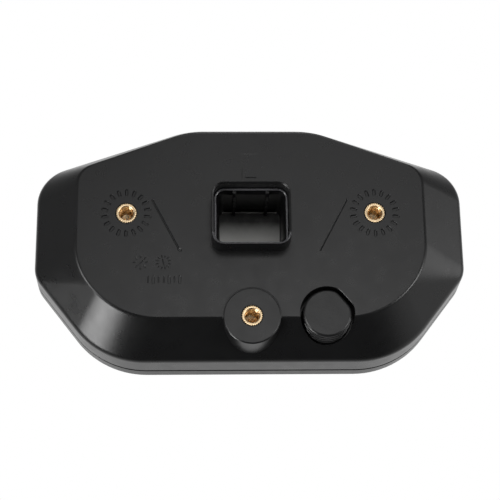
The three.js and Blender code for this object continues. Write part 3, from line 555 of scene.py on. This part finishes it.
def collar_tube():
    """The collar with a fillet at its foot, a round outer lip and a chamfered inner one."""
    lip = 0.2
    outside = [(-0.12, -1.0), (-0.05, 1.0)]
    chamfer = [(0.26, -0.02), (0.8, -0.5), (0.88, -0.62), (COLLAR_WALL, -0.85)]
    sections = [(collar_outline(inset), y) for inset, y in outside]
    sections += rounded_edge((collar_outline(0), COLLAR_TOP_Y - lip), (collar_outline(0), COLLAR_TOP_Y),
                             (collar_outline(lip), COLLAR_TOP_Y))
    sections += [(collar_outline(inset), COLLAR_TOP_Y + down) for inset, down in chamfer]
    sections += [(collar_outline(COLLAR_WALL), COLLAR_FOOT_Y), (collar_outline(0), COLLAR_FOOT_Y)]
    return loft("collar", sections, closed=True)


def stroke(start, end, width, depth, slope):
    """A cutter for a round-ended groove. The slope is how far each wall leans in."""
    start, end = np.array(start, float), np.array(end, float)
    heading = math.atan2(end[1] - start[1], end[0] - start[0])
    above, narrowest, end_steps = 0.05, 0.04, 6

    def pill(radius):
        points = []
        for centre, turn in ((end, 90), (start, -90)):
            for step in range(end_steps + 1):
                angle = heading + math.radians(turn - 180 / end_steps * step)
                points.append(centre + radius * np.array([math.cos(angle), math.sin(angle)]))
        return np.array(points)

    top = width / 2
    return loft("stroke", [(pill(top + above * slope / depth), above),
                           (pill(max(top - slope, narrowest)), -depth)])


def spokes(centre, count, first, near, far, **groove):
    """Grooves that point at a centre, the first one at an angle in degrees."""
    middle = np.array(centre, float)
    made = []
    for spoke in range(count):
        angle = math.radians(360 / count * spoke + first)
        along = np.array([math.cos(angle), math.sin(angle)])
        made.append(stroke(middle + along * near, middle + along * far, **groove))
    return made


# Rings of short grooves, and the places of the two that are date dials.
INSERT_RING = dict(count=18, first=10, near=7.75, far=9.35, width=1.3, depth=0.42, slope=0.3)
DIAL_RINGS = [
    ((34.3, 0.65), dict(count=12, first=15, near=2.1, far=2.8, width=0.5, depth=0.2, slope=0.15)),
    ((43.2, 0.6), dict(count=8, first=0, near=2.0, far=2.7, width=0.6, depth=0.16, slope=0.2)),
]

# Straight marks: start, end, width, depth, slope.
SCRIBED_LINES = [((38.8, 26.4), (28.4, 6.4), 0.85, 0.34, 0.3), ((-38.1, 26.6), (-27.0, 5.5), 0.8, 0.3, 0.38)]
SCRIBED_END = ((28.3, 6.1), (27.7, 5.5), 1.2, 0.34, 0.3)
DIAL_HANDS = [((34.55, 1.8), (34.1, -0.5), 0.55, 0.2, 0.15), ((42.2, 1.3), (44.0, -0.3), 0.5, 0.16, 0.2)]
FRAME_LINES = [
    ((3.35, 39.8), (3.35, 35.2), 0.35, 0.08, 0.12),
    ((1.9, 35.85), (-2.1, 35.85), 0.6, 0.22, 0.2),
    ((3.4, 46.0), (-2.6, 46.0), 0.3, 0.04, 0.1),
]

# The bar mark: where it starts, its pitch, its foot and top, and the width of each bar.
BAR_MARK = (40.2, 2.05, -7.5, -5.3)
BAR_WIDTHS = (0.6, 1.2, 0.6, 0.6, 1.2, 0.6, 1.2)
BAR_GROOVE = (0.2, 0.18)


def face_marks():
    """Cutters for the moulded marks: tick rings, two scribed lines, two blank date dials, a bar mark."""
    cutters = []
    for name in ("insert_upper_left", "insert_upper_right"):
        x, _, z = INSERTS[name]
        cutters += spokes((x, z), **INSERT_RING)
    for place, ring in DIAL_RINGS:
        cutters += spokes(place, **ring)
    cutters += [stroke(*line) for line in (*SCRIBED_LINES, *DIAL_HANDS, *FRAME_LINES)]
    start, pitch, foot, top = BAR_MARK
    for place, width in enumerate(BAR_WIDTHS):
        x = start - place * pitch
        cutters.append(stroke((x, top), (x, foot), width, *BAR_GROOVE))
    return join("marks", cutters)


def lower_boss():
    """The boss that stands proud of the lower slope, with a rounded upper edge and drafted sides."""
    x, y, z = INSERTS["insert_lower"]
    radius = LOWER_BOSS_RADIUS
    profile = [(0, y), (radius - 0.5, y), (radius - 0.44, y - 0.02), (radius - 0.06, y - 0.38),
               (radius, y - 0.46), (radius + LOWER_BOSS_DRAFT, LOWER_BOSS_END_Y), (0, LOWER_BOSS_END_Y)]
    return turned("boss", profile, (x, z), 128)


def boss_groove():
    """The fine groove round the lower boss."""
    x, _, z = INSERTS["insert_lower"]
    near, far, above, depth = LOWER_BOSS_RADIUS - 0.05, LOWER_BOSS_RADIUS + 0.3, 1.0, 0.3
    return turned("groove", [(near, above), (far, above), (far, -depth), (near, -depth)], (x, z), 128)


def upper_boss(name):
    x, _, z = INSERTS[name]
    start_y = -1
    profile = [(0, start_y), (BOSS_RADIUS, start_y), (BOSS_RADIUS, BOSS_END_Y), (0, BOSS_END_Y)]
    return turned("boss", profile, (x, z), 48)


def vent_cup():
    """The wall round the vent's pocket, trimmed to the outside of the case."""
    rim = flattened_disc(VENT_CUP_RADIUS, NO_FLAT)
    cup = loft("cup", [(rim, -1.2), (rim, -13.0)])
    envelope = loft("envelope", [(outline(BACK_FACE, -0.05), 0.0), (outline(CHAMFER_FOOT, -0.05), FOOT_Y)])
    return boolean(cup, [envelope], "INTERSECT")


def insert_hole(x, y, z):
    radius, end = INSERT_RADIUS + INSERT_FIT, y - INSERT_LENGTH - 1
    return turned("hole", [(0, y + 1), (radius, y + 1), (radius, end), (0, end)], (x, z), 64)


def lip_highlight_faces(centre, normal):
    """The faces of the collar's lip that turn inward, in its lower part, which get a painted highlight."""
    lip_depth, below_middle, turned_in = 0.6, 3, 0.15
    in_lip = centre.y > COLLAR_TOP_Y - lip_depth
    return in_lip and centre.z < COLLAR_Z - below_middle and inward(centre, normal) > turned_in


def rear_case():
    shell = case_shell()
    cup = vent_cup()
    boolean(shell, [boss_groove()], "DIFFERENCE")
    upper = [upper_boss(name) for name in ("insert_upper_right", "insert_upper_left")]
    boolean(shell, [lower_boss(), *upper, cup], "UNION")
    pocket = [(0.6, 1.0), (0.12, 0.0), (0, -0.15), (0, VENT_POCKET_Y)]
    cuts = [loft("pocket", [(flattened_disc(*VENT_POCKET, inset=-growth), y) for growth, y in pocket]),
            loft("well", [(collar_outline(0.45), 3.0), (collar_outline(0.45), -5.0)])]
    boolean(shell, cuts, "DIFFERENCE")
    boolean(shell, [collar_tube()], "UNION")
    boolean(shell, [insert_hole(*place) for place in INSERTS.values()], "DIFFERENCE")
    boolean(shell, [face_marks(), stroke(*SCRIBED_END)], "DIFFERENCE")
    smooth(shell)
    put(shell, MATERIALS["case_plastic"], ["rear_case"])
    # painted highlight: the lighter grey on the inward faces of the collar's lower lip
    paint(shell, MATERIALS["rim_painted_highlight"], lip_highlight_faces)


rear_case()


# ---------- front bezel ----------

def pill_outline(x, growth=0.0):
    width, height = BUTTON_CAP[0] + 2 * growth, BUTTON_CAP[1] + 2 * growth
    return rounded_rectangle(width, height, height / 2 - 0.01, (x, BUTTON_Z), 10)


def front_bezel():
    """The front shell: lens recess with its shelf, rounded rim, side wall, and grooved joint."""
    top = SEAM_Y - SEAM_GAP
    rim_growth = (FOOT_Y - FRONT_Y) * DRAFT
    recess_growth, shelf_inset, floor_y, shelf_back = 0.15, -3, -32.5, -29.4
    groove_outer, groove_inner, tongue_inner = 1.25, 2.75, 3.9
    groove_y, tongue_y = top - 1.3, SEAM_Y + 4
    lens_wall = outline(LENS, 2.2)
    recess = outline(LENS, recess_growth)
    sections = [(outline(LENS, shelf_inset), LENS_SHELF_Y), (recess, LENS_SHELF_Y)]
    sections += rounded_edge((recess, FRONT_Y + SHARP_EDGE), (recess, FRONT_Y),
                             (outline(LENS, recess_growth + SHARP_EDGE), FRONT_Y), 3)
    sections += rounded_edge((outline(CHAMFER_FOOT, rim_growth - 1.3), FRONT_Y),
                             (outline(CHAMFER_FOOT, rim_growth), FRONT_Y), wall_section(FRONT_Y + 1.6), 7)
    sections += rounded_edge(wall_section(top - SHARP_EDGE), wall_section(top), wall_section(top, SHARP_EDGE))
    sections += [wall_section(top, groove_outer), wall_section(groove_y, groove_outer),
                 wall_section(groove_y, groove_inner), wall_section(tongue_y, groove_inner),
                 wall_section(tongue_y, tongue_inner), wall_section(floor_y, WALL),
                 (lens_wall, floor_y), (lens_wall, shelf_back), (outline(LENS, shelf_inset), shelf_back)]
    body = loft("bezel_shell", sections, closed=True)
    hole = [(0.85, -35.1), (0.25, -34.2), (0.25, -31.0)]
    cuts = [loft("button_hole", [(pill_outline(x, growth), y) for growth, y in hole])
            for x in (-BUTTON_X, BUTTON_X)]
    boolean(body, cuts, "DIFFERENCE")
    smooth(body)
    return put(body, MATERIALS["bezel_plastic"], ["front_bezel"])


front_bezel()


# ---------- mounting inserts ----------

def knurled_insert(name, x, y, z):
    """A brass insert: a straight knurl with a groove round its middle, and an M6 thread in a blind bore."""
    teeth, points_per_tooth, knurl_depth = 28, 6, 0.3
    facets = teeth * points_per_tooth
    angles = clockwise(facets)
    tooth = np.abs((np.arange(facets) / points_per_tooth) % 1 - 0.5) * 2
    knurl = INSERT_RADIUS - 0.05 - knurl_depth * np.clip(1.4 * tooth - 0.2, 0, 1)
    groove = INSERT_RADIUS - 0.55
    end, axis = -INSERT_LENGTH, 0.02
    rows = [(knurl - 0.35, 0), (knurl - 0.105, -0.04), (knurl, -0.2), (knurl, -4), (groove, -4.1),
            (groove, -5.4), (knurl, -5.5), (knurl, end + 0.3), (INSERT_BORE, end), (axis, end),
            (axis, end + 1.2), (INSERT_BORE - 0.4, end + 2.0)]

    pitch, level, thread_top, run_out, thread_depth = 1.0, 0.125, -0.35, 0.8, 0.42
    turns = np.arange(facets) / facets
    for depth in np.arange(end + 2.0 + level, thread_top, level):
        crest = np.abs((depth / pitch + turns) % 1 - 0.5) * 2
        fade = min(1.0, (thread_top - depth) / run_out)
        rows.append((INSERT_BORE - 0.15 + thread_depth * crest * fade + 0.30 * (1 - fade), depth))
    rows += [(INSERT_BORE + 0.2, -0.3), (INSERT_BORE + 0.38, -0.05), (INSERT_BORE + 0.5, 0)]

    body = loft(name + "_brass", [(round_outline(radii, (x, z), angles), y + depth) for radii, depth in rows],
                closed=True)
    smooth(body, 40)
    return put(body, MATERIALS["brass"], [name])


for insert_name, insert_place in INSERTS.items():
    knurled_insert(insert_name, *insert_place)


# ---------- vent cap ----------

def vent_cap():
    """The ribbed cap: a bevelled face and ring ridges that step out down its side."""
    top, end = VENT_CAP_Y
    first_ridge, ridge_pitch, ridge_height, step_out = -2.0, -2.1, 0.34, -0.14
    steps = [(0.85, 0.0), (0.72, -0.04), (0.14, -0.5), (0.03, -0.62), (0.0, -0.9)]
    for ridge in range(3):
        start, swell = first_ridge + ridge_pitch * ridge, step_out * ridge
        steps += [(swell, start), (swell + ridge_height, start - 0.12), (swell + ridge_height, start - 0.75),
                  (swell - 0.08, start - 1.0), (swell + step_out, start - 1.3)]
    steps.append((3 * step_out, end - top))
    sections = [(flattened_disc(*VENT_CAP, inset=inset), top + y) for inset, y in steps]
    hollow_radius, hollow_top = VENT_CAP_HOLLOW
    hollow = flattened_disc(hollow_radius, NO_FLAT)
    body = loft("vent_cap_shell", [*sections, (hollow, end), (hollow, hollow_top)])
    smooth(body)
    return put(body, MATERIALS["cap_plastic"], ["vent_cap"])


vent_cap()


# ---------- connector ----------

HEADER_FAR_Z = COLLAR_Z + COLLAR[1] / 2 - HEADER_INSET - HEADER_WALL


def key_rib(x):
    """A rib down the far wall of the header. Its top slopes back into the wall."""
    rib = rounded_rectangle(*KEY_RIB, (x, HEADER_FAR_Z), 3)
    sunk = rounded_rectangle(*KEY_RIB, (x, HEADER_FAR_Z + 1.1), 3)
    top, slope_end, foot = HEADER_MOUTH_Y - 0.35, HEADER_MOUTH_Y - 1.9, HEADER_FLOOR_Y + 0.6
    return loft("rib", [(sunk, top), (rib, slope_end), (rib, foot)])


def rib_notches(x):
    """Cutters for the row of notches in a rib's edge."""
    cut = rounded_rectangle(3.0, 0.5, 0.2, (x, HEADER_FAR_Z - 1.2), 2)
    first, pitch, height = -3.2, -3.6, 0.9
    tops = [first + pitch * notch for notch in range(4)]
    return [loft("notch", [(cut, y), (cut, y - height)]) for y in tops]


def connector_header():
    """The header inside the collar, with a lead-in, two notched key ribs, a slot above its floor and a
    painted highlight on its mouth.
    """
    lead_in = [(HEADER_WALL, -2.2), (0.95, -0.55), (0.8, -0.2), (0.5, 0), (0.15, 0), (0, -0.15)]
    profile = [(HEADER_WALL, HEADER_FLOOR_Y), *((inset, HEADER_MOUTH_Y + down) for inset, down in lead_in),
               (0, HEADER_END_Y)]
    body = loft("header_shell", [(collar_outline(HEADER_INSET + inset), y) for inset, y in profile])
    boolean(body, [key_rib(x) for x in (-KEY_RIB_X, KEY_RIB_X)], "UNION")
    notches = [notch for x in (-KEY_RIB_X, KEY_RIB_X) for notch in rib_notches(x)]
    boolean(body, [join("notches", notches)], "DIFFERENCE")
    slot = rounded_rectangle(21.0, 1.2, 0.2, (0, HEADER_FAR_Z + 0.35), 2)
    boolean(body, [loft("slot", [(slot, -15.2), (slot, -19.2)])], "DIFFERENCE")
    smooth(body)
    put(body, MATERIALS["connector_plastic"], ["connector_header"])
    # painted highlight: the lighter grey on the faces of the header's mouth that face the back
    rim_depth, facing_out = 0.12, 0.8
    paint(body, MATERIALS["rim_painted_highlight"],
          lambda centre, normal: centre.y > HEADER_MOUTH_Y - rim_depth and normal.y > facing_out)


def header_ledge():
    """The pale edge of the insulating plate in the slot under the far wall."""
    edge = rounded_rectangle(22.4, 0.45, 0.2, (0, HEADER_FAR_Z - 0.3), 4)
    ledge = loft("header_ledge", [(edge, -18.75), (edge, -19.05)])
    smooth(ledge)
    return put(ledge, MATERIALS["wafer_edge"])


connector_header()
header_ledge()


# ---------- lens ----------

def lens_window():
    back, front = LENS_Y
    sections = [(outline(LENS, -0.25), back)]
    sections += rounded_edge((outline(LENS), back - SHARP_EDGE), (outline(LENS), front),
                             (outline(LENS, -0.5), front), 5)
    body = loft("lens_window", sections)
    smooth(body)
    body.visible_shadow = False
    return put(body, MATERIALS["lens_clear"], ["lens"])


lens_window()


# ---------- display picture ----------

LAYER = 0.03


def flat_shape(points, y):
    """A thin coloured layer that faces the rider."""
    return loft("layer", [(np.array(points, float), y), (np.array(points, float), y - LAYER)])


def polar(centre, radius, angle):
    turn = math.radians(angle)
    return (centre[0] + radius * math.cos(turn), centre[1] + radius * math.sin(turn))


def arc_strip(centre, inner, outer, start, end, y, steps=40):
    """A thin layer between two radii, angles in degrees from +X."""
    angles = [start + (end - start) * step / steps for step in range(steps + 1)]
    near = [polar(centre, inner, angle) for angle in angles]
    far = [polar(centre, outer, angle) for angle in angles]
    band = far + near[::-1]
    count = len(band)
    vertices = [(x, depth, z) for depth in (y, y - LAYER) for x, z in band]
    faces = []
    for i in range(steps):
        j = count - 1 - i
        faces.append((i, i + 1, j - 1, j))
        faces.append(tuple(count + k for k in (j, j - 1, i + 1, i)))
    for i in range(count):
        j = (i + 1) % count
        faces.append((i, count + i, count + j, j))
    return new_object("strip", vertices, faces)


def bar(x0, z0, x1, z1, y=SCREEN_Y):
    return flat_shape([(x0, z1), (x1, z1), (x1, z0), (x0, z0)], y)


def show(name, things, colour):
    """The things as one lit piece of the picture."""
    return put(join(name, things), SCREEN[colour])


SEGMENTS_OF = {
    "0": "top foot upper_left upper_right lower_left lower_right",
    "1": "upper_right lower_right",
    "2": "top upper_right middle lower_left foot",
    "4": "upper_left upper_right middle lower_right",
    "6": "top upper_left middle lower_left lower_right foot",
    "8": "top foot middle upper_left upper_right lower_left lower_right",
}


def seven_segments(x, z, width, height, digit):
    """A digit from bars, from its lower left corner."""
    thick = width * 0.16
    right, top, middle = x + width, z + height, z + height / 2
    upper, lower = (middle + thick / 2, top - thick / 2), (z + thick / 2, middle - thick / 2)
    segments = {
        "top": (x + thick, top - thick, right - thick, top),
        "middle": (x + thick, middle - thick / 2, right - thick, middle + thick / 2),
        "foot": (x + thick, z, right - thick, z + thick),
        "upper_left": (x, upper[0], x + thick, upper[1]),
        "upper_right": (right - thick, upper[0], right, upper[1]),
        "lower_left": (x, lower[0], x + thick, lower[1]),
        "lower_right": (right - thick, lower[0], right, lower[1]),
    }
    return [bar(*segments[name]) for name in SEGMENTS_OF[digit].split()]


def dial():
    """Rev counter: a scale with major and minor ticks, a red band and a pointer at idle."""
    centre, start, end = (-19, 8), 215, -35
    sweep = end - start
    marks, marks_per_figure, tick_end = 60, 5, 24.2
    ticks = []
    for mark in range(marks + 1):
        angle = start + sweep * mark / marks
        inner, half_width = (20.6, 1.0) if mark % marks_per_figure == 0 else (22.6, 0.5)
        ticks.append(arc_strip(centre, inner, tick_end, angle - half_width, angle + half_width, SCREEN_Y, 2))
    show("dial_ticks", ticks, "white")
    scale_inner, scale_outer, band_outer, band_start = 24.8, 25.6, 26.2, 3
    scale = arc_strip(centre, scale_inner, scale_outer, start, band_start + 2, SCREEN_Y, 80)
    show("dial_scale", [scale], "dim")
    show("dial_red_band", [arc_strip(centre, scale_inner, band_outer, band_start, end, SCREEN_Y, 24)], "red")
    idle, tip_radius, foot_radius = start + sweep * 0.12, 19.5, 2.2
    pointer = [polar(centre, foot_radius, idle + 90), polar(centre, tip_radius, idle),
               polar(centre, foot_radius, idle - 90)]
    show("dial_pointer", [flat_shape(pointer, SCREEN_Y - 0.05)], "red")
    show("dial_numerals", dial_numerals(centre, start, sweep), "white")
    hub = arc_strip(centre, 3.0, 3.6, 0, 359, SCREEN_Y, 60)
    inner_ring = arc_strip(centre, 13.0, 13.3, 150, 30, SCREEN_Y)
    show("dial_hub", [hub, inner_ring], "dim")


def dial_numerals(centre, start, sweep):
    """Even figures from nought to twelve round the dial."""
    radius, width, height, pitch, gap = 17.6, 1.8, 3.0, 2.7, 0.4
    last = 6
    numerals = []
    for step in range(last + 1):
        x, z = polar(centre, radius, start + sweep * step / last)
        digits = str(2 * step)
        for place, digit in enumerate(digits):
            left_edge = x + pitch * (place - len(digits) / 2) + gap
            numerals += seven_segments(left_edge, z - height / 2, width, height, digit)
    return numerals


def bar_gauge(name, low, high, lit, colour):
    """A row of eight bars, the first few lit."""
    start, pitch, width = 14, 4.2, 3.4
    bars = [bar(start + pitch * i, low, start + pitch * i + width, high) for i in range(8)]
    show(name, bars[:lit], colour)
    show(name + "_empty", bars[lit:], "dim")


def readouts():
    """Speed and distance shown as noughts, with fuel and temperature bars and thin frame lines."""
    show("speed_digit", seven_segments(31, 14, 11, 19, "0"), "white")
    trip = [piece for place in range(5) for piece in seven_segments(-28.4 + 4.0 * place, -13, 2.8, 4.6, "0")]
    show("trip_digits", trip, "dim")
    bar_gauge("fuel_bars", -9, -6, 6, "white")
    bar_gauge("heat_bars", -3, 0, 3, "blue")
    show("frame_lines", [bar(13, 5.6, 49, 5.9), bar(13, -12.6, 49, -12.3), bar(9.8, -14, 10.1, 36)], "dim")


def telltales():
    """Plain symbols over the light guides: arrows, a lamp, a triangle, a ring and a battery."""
    y = GUIDE_TIP_Y - 0.04
    left, right = -TELLTALE_X, TELLTALE_X
    turn_z, beam_z, warning_z = TELLTALE_Z

    def arrow(x, z, way):
        corners = [(0.3, 1.6), (0.3, 0.7), (1.8, 0.7), (1.8, -0.7), (0.3, -0.7), (0.3, -1.6), (-1.8, 0)]
        return flat_shape([(x + way * across, z + up) for across, up in corners], y)

    def beam(x, z):
        lamp = arc_strip((x - 0.1, z), 0, 1.3, 90, -90, y, 12)
        rays = [bar(x - 1.8, z + up - 0.14, x - 0.5, z + up + 0.14, y) for up in (-0.9, -0.3, 0.3, 0.9)]
        return [lamp, *rays]

    def symbol(name, things, colour):
        show(name, things, colour)

    symbol("telltale_turn_left", [arrow(left, turn_z, 1)], "green")
    symbol("telltale_turn_right", [arrow(right, turn_z, -1)], "green")
    symbol("telltale_beam", beam(left, beam_z), "blue")
    triangle = [(left, warning_z + 1.6), (left + 1.8, warning_z - 1.4), (left - 1.8, warning_z - 1.4)]
    symbol("telltale_warning", [flat_shape(triangle, y)], "amber")
    ring = arc_strip((right, beam_z), 1.0, 1.6, 0, 359, y, 32)
    symbol("telltale_ring", [ring, bar(right - 0.2, beam_z - 0.7, right + 0.2, beam_z + 0.7, y)], "amber")
    battery = [bar(right - 1.7, warning_z - 1.1, right + 1.7, warning_z + 0.8, y),
               bar(right - 1.2, warning_z + 0.85, right - 0.5, warning_z + 1.3, y),
               bar(right + 0.5, warning_z + 0.85, right + 1.2, warning_z + 1.3, y)]
    symbol("telltale_battery", battery, "red")


dial()
readouts()
telltales()


# ---------- buttons ----------

def push_button(side, x):
    """A domed rubber cap with its flange and its stem, in one piece."""
    front = BUTTON_FRONT_Y
    flange = [(1.0, -31.35), (1.0, -32.2), (0.0, -32.3)]
    sections = [(pill_outline(x, growth), y) for growth, y in flange]
    sections += rounded_edge((pill_outline(x), front + 1.1), (pill_outline(x, -0.1), front),
                             (pill_outline(x, -1.3), front), 6)
    body = loft("button_%s_cap" % side, [*sections, (pill_outline(x, -2.0), front + 0.12)])
    radius, near, far = BUTTON_STEM
    stem = turned("stem", [(0, near), (radius, near), (radius, far), (0, far)], (x, BUTTON_Z), 48)
    boolean(body, [stem], "UNION")
    smooth(body)
    return put(body, MATERIALS["button_rubber"], ["button_%s" % side], "%s_button" % side)


push_button("left", -BUTTON_X)
push_button("right", BUTTON_X)


# ---------- CAD nodes that keep their shape ----------

slot_of = {part["node"]: part["material_slot"] for part in frame["record"]["subparts"]}
for node_name, node in frame["nodes"].items():
    node.data.materials.clear()
    node.data.materials.append(MATERIALS[slot_of[node_name]])


# ---------- stage, light and camera ----------

def towards(azimuth, elevation):
    """Unit vector, azimuth in degrees from +Y round to +X."""
    across, up = math.radians(azimuth), math.radians(elevation)
    return (math.sin(across) * math.cos(up), math.cos(across) * math.cos(up), math.sin(up))


# Soft panels round the part: direction, half-angle of the bright middle and of the faded edge, brightness.
PANELS = [
    (towards(77, -40), 2, 17, 11.5),
    (towards(-84, 6), 5, 19, 1.7),
    (towards(-95, -24), 10, 36, 0.5),
    (towards(-50, -9), 7, 15, 7.0),
    (towards(50, -9), 7, 15, 7.0),
    (towards(-4, 7.5), 4, 17, 1.95),
]

# Broad light along one axis of the room: the axis, the range along it, and the brightness at its two ends.
BROAD_LIGHT = [
    ("Z", -0.7, 0.5, 0.05, 0.22),
    ("Y", -0.8, -0.2, 0.72, 0.0),
    ("Y", -0.992, -0.972, -0.6, 0.0),
]


def studio():
    """A white room: a bright sweep round a dark flag before the display, soft panels behind, dim below."""
    scene = bpy.context.scene
    scene.view_settings.view_transform = "Standard"
    scene.view_settings.look = "None"
    world = bpy.data.worlds.new("studio")
    scene.world = world
    world.use_nodes = True
    tree = world.node_tree
    background = tree.nodes["Background"]
    around = tree.nodes.new("ShaderNodeTexCoord").outputs["Generated"]
    separate = tree.nodes.new("ShaderNodeSeparateXYZ")
    tree.links.new(around, separate.inputs["Vector"])

    lights = [ramp(tree, separate.outputs[axis], *values, kind="SMOOTHSTEP") for axis, *values in BROAD_LIGHT]
    for direction, bright, faded, strength in PANELS:
        facing = tree.nodes.new("ShaderNodeVectorMath")
        facing.operation = "DOT_PRODUCT"
        facing.inputs[1].default_value = direction
        tree.links.new(around, facing.inputs[0])
        edges = math.cos(math.radians(faded)), math.cos(math.radians(bright))
        lights.append(ramp(tree, facing.outputs["Value"], *edges, 0.0, strength, kind="SMOOTHSTEP"))
    glow = lights[0]
    for light in lights[1:]:
        glow = add_values(tree, glow, light)

    camera_ray = tree.nodes.new("ShaderNodeLightPath")
    mix = tree.nodes.new("ShaderNodeMix")
    mix.data_type = "FLOAT"
    tree.links.new(camera_ray.outputs["Is Camera Ray"], mix.inputs["Factor"])
    tree.links.new(glow, mix.inputs["A"])
    mix.inputs["B"].default_value = 1.0
    tree.links.new(mix.outputs["Result"], background.inputs["Strength"])
    background.inputs["Color"].default_value = (1, 1, 1, 1)


def softbox(name, position, target, size, power):
    """A rectangular lamp, places and size in metres."""
    light = bpy.data.lights.new(name, "AREA")
    light.shape = "RECTANGLE"
    light.size, light.size_y = size
    light.energy = power
    lamp = bpy.data.objects.new(name, light)
    bpy.context.scene.collection.objects.link(lamp)
    lamp.location = position
    direction = Vector(target) - Vector(position)
    lamp.rotation_mode = "QUATERNION"
    lamp.rotation_quaternion = direction.to_track_quat("-Z", "Y")
    lamp.visible_camera = False
    return lamp


def floor():
    """A wide pale floor that stays out of the reflections and the shadows."""
    size, height, glow = 12.0, -0.22, 0.45
    corners = [(-size, -size), (size, -size), (size, size), (-size, size)]
    mesh = bpy.data.meshes.new("floor")
    mesh.from_pydata([(x, y, height) for x, y in corners], [], [(0, 1, 2, 3)])
    made = bpy.data.objects.new("floor", mesh)
    bpy.context.scene.collection.objects.link(made)
    material, tree, shader = new_material("floor_paint")
    shader.inputs["Roughness"].default_value = 0.8
    shader.inputs["Base Color"].default_value = (0.86, 0.86, 0.86, 1)
    shader.inputs["Emission Color"].default_value = (1, 1, 1, 1)
    shader.inputs["Emission Strength"].default_value = glow
    mesh.materials.append(material)
    made.visible_glossy = False
    made.visible_diffuse = False
    made.visible_transmission = False
    made.visible_shadow = False


def main_camera():
    """The camera below and behind the part, turned up at it. Its distance and aim are in millimetres."""
    distance, tilt, yaw, roll = 532.9, math.radians(18.16), math.radians(1.864), math.radians(-0.712)
    aim = Vector((0, 0, 5.6))
    sideways = Vector((-math.cos(yaw), math.sin(yaw), 0))
    outward = Vector((math.sin(yaw), math.cos(yaw), 0))
    upward = outward * math.sin(tilt) + Vector((0, 0, math.cos(tilt)))
    forward = Vector((0, 0, math.sin(tilt))) - outward * math.cos(tilt)
    right = sideways * math.cos(roll) + upward * math.sin(roll)
    up = upward * math.cos(roll) - sideways * math.sin(roll)
    camera = bpy.data.cameras.new("camera")
    camera.sensor_width = 36
    camera.lens = 98.2
    camera.shift_x = -0.0027
    camera.clip_start, camera.clip_end = 0.01, 50
    made = bpy.data.objects.new("camera", camera)
    bpy.context.scene.collection.objects.link(made)
    rotation = Matrix((right, up, -forward)).transposed().to_4x4()
    made.matrix_world = Matrix.Translation((aim - forward * distance) * MM) @ rotation
    bpy.context.scene.camera = made


main_camera()
studio()
softbox("key", position=(-0.15, 0.9, 1.1), target=(0, 0, 0), size=(0.7, 0.5), power=3)
floor()
